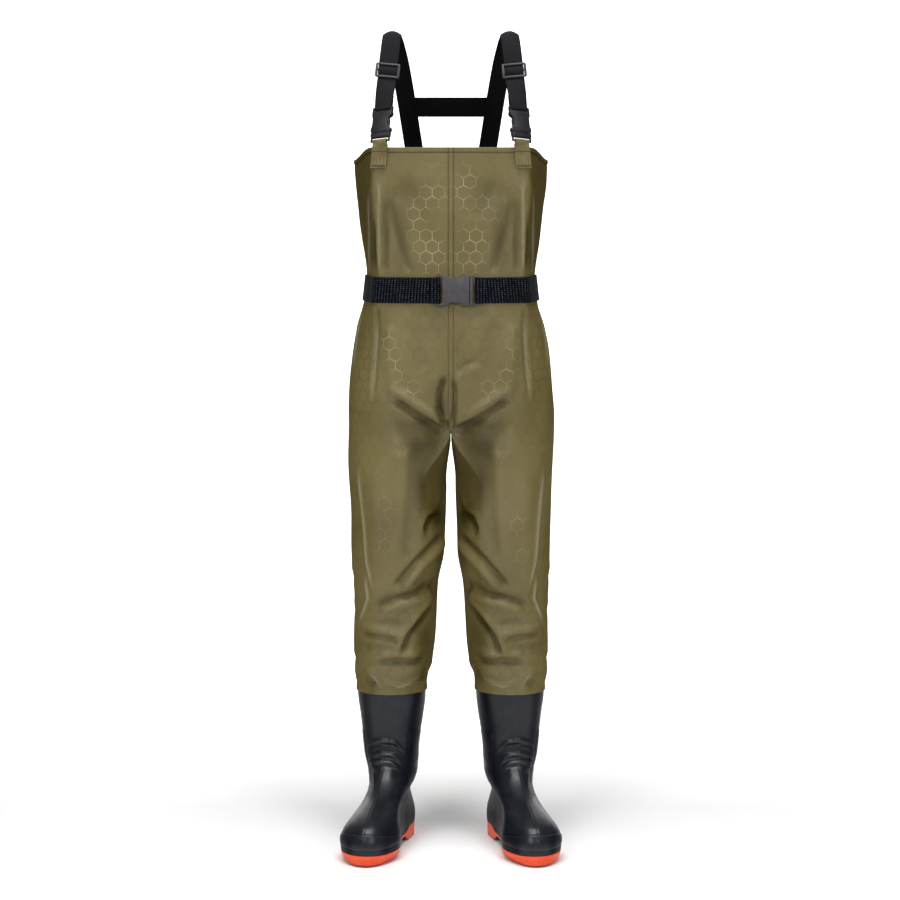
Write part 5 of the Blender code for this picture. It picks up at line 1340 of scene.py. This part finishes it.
def tab_piece(label, side):
    x, r = float(STRAP_X(BAR_POINT[1])), 1.75 * MM + 0.4 * MM + TAB_THICK / 2
    y_back, y_front = -119.4 * MM, -120.9 * MM
    o, down, turned, out = (np.array(q) for q in front_frame(0, BUCKLE_TURN))
    shear, free_z = 4.0 * MM, Z_TOP_FRONT + 1.8 * MM
    level = np.array([1.0, 0, -0.03])

    def twist(near, far, w0, w1):
        return [(*mix(near, far, k), *mix(w0, w1, k)) for k in (0, 0.33, 0.67, 1)]
    path = [(x + shear, y_back, 1.213, *level), (x + shear * 0.4, y_back, 1.238, *level)]
    path += twist(np.array([x, y_back, free_z]), o + down * 4.5 * MM - out * 1.5 * MM, level, turned)
    for k in range(13):
        q = mix(-0.10 * math.pi, 1.10 * math.pi, k / 12)
        path.append((*(o - out * (r * math.cos(q)) - down * (r * math.sin(q))), *turned))
    path += twist(o + down * 4.5 * MM + out * 1.5 * MM, np.array([x, y_back - 3.2 * MM, free_z]), turned, level)
    path += [(x + shear * 0.4, y_front - 0.3 * MM, 1.238, *level), (x + shear, y_front, 1.213, *level)]
    p = divide(soften(path, 2), 0.8 * MM)
    v, f, uv, painted_shade = ribbon(p[:, :3], p[:, 3:], TAB_THICK, TAB_WIDTH, 0.0, True)
    # painted shade: a dark band on the tab's outer layer just above the stitching, where it bends out towards the
    # buckle
    dim = np.exp(-((v[:, 2] - 1.2415) / (1.1 * MM)) ** 2) * (v[:, 1] < y_front) * 0.8
    ob = make("tab_%s_cloth" % label, mirror(v, side), f, TAB_CLOTH, True, uv, dict(painted_shade=dim))
    place(fix_normals(ob, 50), "tab_" + label)
    pts, dirs = [], []
    y = y_front - TAB_THICK / 2 - 0.2 * MM
    for a in (-8.5, -3.0, 3.0, 8.5):
        for z in np.arange(1.2185, 1.2370, 0.0030):
            sh = shear * (1.255 - z) / 0.042
            pts.append((x + sh + a * MM, y, z))
            dirs.append((-0.1, 0, 1))
    for z, rows in ((1.2165, 3), (1.2385, 2)):
        for q in range(rows):
            for a in np.arange(-11, 11.1, 2.2):
                sh = shear * (1.255 - z) / 0.042
                pts.append((x + sh + a * MM, y, z + (q - 1) * 0.9 * MM))
                dirs.append((1, 0, -0.05))
    v, f = stitches(pts, [(0, -1, 0)] * len(pts), dirs, 2.4 * MM, 0.75 * MM, 0.05 * MM)
    ob = make("tab_stitches_" + label, mirror(v, side), f, THREAD, False)
    place(fix_normals(ob), None)


def tab_material():
    m = Mat("olive_tab_webbing", roughness=0.62, specular=0.35)
    u, v, _ = m.split(m.uv())
    rib = m.math("SINE", m.math("MULTIPLY", u, 2 * math.pi / (1.5 * MM)))
    weft = m.math("SINE", m.math("MULTIPLY", v, 2 * math.pi / (1.2 * MM)))
    cell = m.ramp(m.math("ADD", m.math("MULTIPLY", rib, 0.7), m.math("MULTIPLY", weft, 0.3)), -0.9, 0.9)
    wide = m.noise(80.0, 2.0, 0.5)
    tone = m.mixc(m.ramp(wide, 0.3, 0.7), lin(104, 94, 56), lin(122, 112, 72))
    tone = m.mixc(m.math("MULTIPLY", m.math("SUBTRACT", 1.0, cell), 0.45), tone, lin(70, 62, 32))
    # painted shade from the band set on the tab
    tone = m.mixc(m.att("painted_shade"), tone, lin(44, 38, 18))
    return m.set(Base_Color=tone, Normal=m.bump(cell, 0.3, 0.0004))


TAB_CLOTH = tab_material()


def slider_piece(label, side):
    o, down, across, out = front_frame(STRAP_REACH + SLIDER_UP)
    fr = flip((o + out * STRAP_LOOP, down, across, out), side)
    h, w, t, bar, rail = 13.5 * MM, 21.5 * MM, 1.5 * MM, 3.8 * MM, 4.5 * MM
    solids = []
    for s in (-1, 1):
        q = [(-h, s * w, 7.5 * MM), (h, s * w, 7.5 * MM), (h, s * (w - rail), 1.5 * MM), (-h, s * (w - rail), 1.5 * MM)]
        solids.append(plate(fr, rounded(q, 2 * MM, 6), -t, t + 0.6 * MM, 0.9 * MM))
    for u0 in (-h + bar / 2, 0, h - bar / 2):
        q = [(u0 - bar / 2, w - 1.8 * MM), (u0 + bar / 2, w - 1.8 * MM), (u0 + bar / 2, -w + 1.8 * MM), (u0 - bar / 2, -w + 1.8 * MM)]
        lift = 0.4 * MM if u0 else -0.2 * MM
        solids.append(plate(fr, rounded(q, 0.8 * MM), -t + 0.1 * MM, t + lift, 1.0 * MM))
    ob = weld("slider_%s_moulded" % label, solids, BUCKLE_DARK)
    place(ob, "slider_" + label)


for label, side in SIDES:
    o, down, across, out = front_frame(STRAP_REACH, BUCKLE_TURN)
    fr = flip((o - down * (2 * MM), down, across, out), side)
    release_buckle(("strap_buckle_female_" + label, "strap_buckle_male_" + label), fr, STRAP_BUCKLE, BUCKLE_DARK, (6.2 * MM, 2.0 * MM))
    slider_piece(label, side)
    tab_piece(label, side)
    p = divide(soften(STRAP_PATH, 2), 1.1 * MM)
    v, f, uv, painted_shade = ribbon(p[:, :3], p[:, 3:], WEB_THICK, WEB_WIDTH, 0.004)
    v[:, 2] -= 7 * MM * (uv[:, 0] / (WEB_WIDTH / 2)) ** 2 * smooth(1.398, 1.446, v[:, 2])
    # one face of the strap near black as painted shade
    ob = make("strap_%s_web" % label, mirror(v, side), f, STRAP_WEB, True, uv, dict(painted_shade=1 - painted_shade))
    place(fix_normals(ob, 50), "strap_" + label)


def cross_piece():
    back = np.array(STRAP_PATH)[-9:-2, :3]
    z = 1.322
    k = int(np.argmax((back[:-1, 2] >= z) & (back[1:, 2] <= z)))
    a, b = back[k], back[k + 1]
    p = a + (b - a) * (z - a[2]) / (b[2] - a[2])
    d = np.array([0, b[1] - a[1], b[2] - a[2]])
    d /= np.linalg.norm(d)
    outward = np.array([0, -d[2], d[1]])
    p = p + outward * (WEB_THICK + 0.35 * MM)
    reach = p[0] + 8 * MM
    run = np.array([[s * reach, p[1], p[2]] for s in np.linspace(-1, 1, 121)])
    v, f, uv, painted_shade = ribbon(run, np.tile(-d, (121, 1)), WEB_THICK, 37 * MM, 0.004)
    n_mid = np.mean((v - run.mean(0)) @ outward * (painted_shade > 0.9))
    # one face of the cross strap near black as painted shade
    ob = make("cross_strap_web", mirror(v, 1), f, STRAP_WEB, True, uv, dict(painted_shade=painted_shade if n_mid < 0 else 1 - painted_shade))
    place(fix_normals(ob, 50), "cross_strap")
    pts, dirs = [], []
    for s in (-1, 1):
        for q in (-10.5, 10.5):
            for e in np.arange(-11.5, 11.6, 2.6):
                c = np.array([s * (p[0] - 0.5 * MM), p[1], p[2]])
                pts.append(c + np.array([1, 0, 0]) * e * MM + d * q * MM + outward * WEB_THICK / 2)
                dirs.append((1, 0, 0))
                pts.append(c + np.array([1, 0, 0]) * q * MM + d * e * MM + outward * WEB_THICK / 2)
                dirs.append(d)
    v, f = stitches(pts, [outward] * len(pts), dirs, 2.2 * MM, 0.7 * MM, 0.05 * MM)
    place(fix_normals(make("cross_strap_stitches", mirror(v, 1), f, THREAD_BLACK, False)), None)


cross_piece()


# ------------------------------------------------------------------ stage
def floor_material():
    m = Mat("pale_floor", roughness=0.7, specular=0.2)
    n = m.noise(3.0, 2.0, 0.5)
    return m.set(Base_Color=m.mixc(m.ramp(n, 0.3, 0.7), (0.93, 0.93, 0.93, 1), (0.95, 0.95, 0.95, 1)),
                 Emission_Color=(1, 1, 1, 1), Emission_Strength=m.att("glow"))


def stage():
    """Pale floor that sweeps up far behind the garment; its far part is a light table."""
    xs, far, bend, tall = (-6.0, -3.2, -2.4, 2.4, 3.2, 6.0), 5.2, 1.2, 8.0
    prof = [(-9.0, 0.0, 0.0), (0.3, 0.0, 0.0), (1.9, 0.0, 1.0), (far, 0.0, 1.0)]
    prof += [(far + bend * math.sin(a), bend - bend * math.cos(a), 1.0) for a in np.linspace(0.05, math.pi / 2, 20)]
    prof += [(far + bend, tall, 1.0)]
    n = len(xs)
    f = np.array([(n * k + c, n * k + c + 1, n * k + n + c + 1, n * k + n + c) for k in range(len(prof) - 1)
                  for c in range(n - 1) if prof[k + 1][1] < 0.05 or 0 < c < n - 2])
    used, f = np.unique(f, return_inverse=True)
    v = np.array([(x, y, z) for y, z, g in prof for x in xs])[used]
    glow = np.array([g * (abs(x) < 2.5) for y, z, g in prof for x in xs])[used]
    ob = make("studio_floor", v, f.reshape(-1, 4), floor_material(), True, None, dict(glow=glow))


def area(name, place_, aim, size, power, tone=(1, 1, 1)):
    lamp = bpy.data.lights.new(name, "AREA")
    lamp.shape, lamp.size, lamp.size_y = "RECTANGLE", size[0], size[1]
    lamp.energy, lamp.color = power, tone
    ob = bpy.data.objects.new(name, lamp)
    ob.location = place_
    ob.rotation_euler = (Vector(aim) - Vector(place_)).to_track_quat("-Z", "Y").to_euler()
    bpy.context.scene.collection.objects.link(ob)


stage()
area("key_left", (-1.7, -3.9, 2.7), (0, 0, 0.75), (1.5, 1.8), 62)
area("fill_right", (1.9, -3.8, 2.4), (0, 0, 0.75), (1.5, 1.8), 48)
area("top", (0, -1.0, 4.3), (0, 0.2, 0.0), (2.6, 2.2), 150)
world = bpy.data.worlds.new("studio")
world.use_nodes = True
world.node_tree.nodes["Background"].inputs[0].default_value = (1, 1, 1, 1)
world.node_tree.nodes["Background"].inputs[1].default_value = 0.14
bpy.context.scene.world = world
bpy.context.scene.view_settings.view_transform = "Standard"
bpy.context.scene.view_settings.look = "None"

CAM_X, CAM_BACK, CAM_UP, AIM_Z = -1.6 * MM, 5.0, 1.20, 0.7083
cam = bpy.data.cameras.new("camera")
cam.sensor_width, cam.lens = 36.0, 36.0 / (900 * PX) * math.hypot(CAM_BACK, CAM_UP - AIM_Z)
eye = bpy.data.objects.new("camera", cam)
eye.location = (CAM_X, SHIFT_Y - CAM_BACK, CAM_UP)
eye.rotation_euler = (Vector((CAM_X, SHIFT_Y, AIM_Z)) - Vector(eye.location)).to_track_quat("-Z", "Y").to_euler()
bpy.context.scene.collection.objects.link(eye)
bpy.context.scene.camera = eye

bpy.context.view_layer.update()
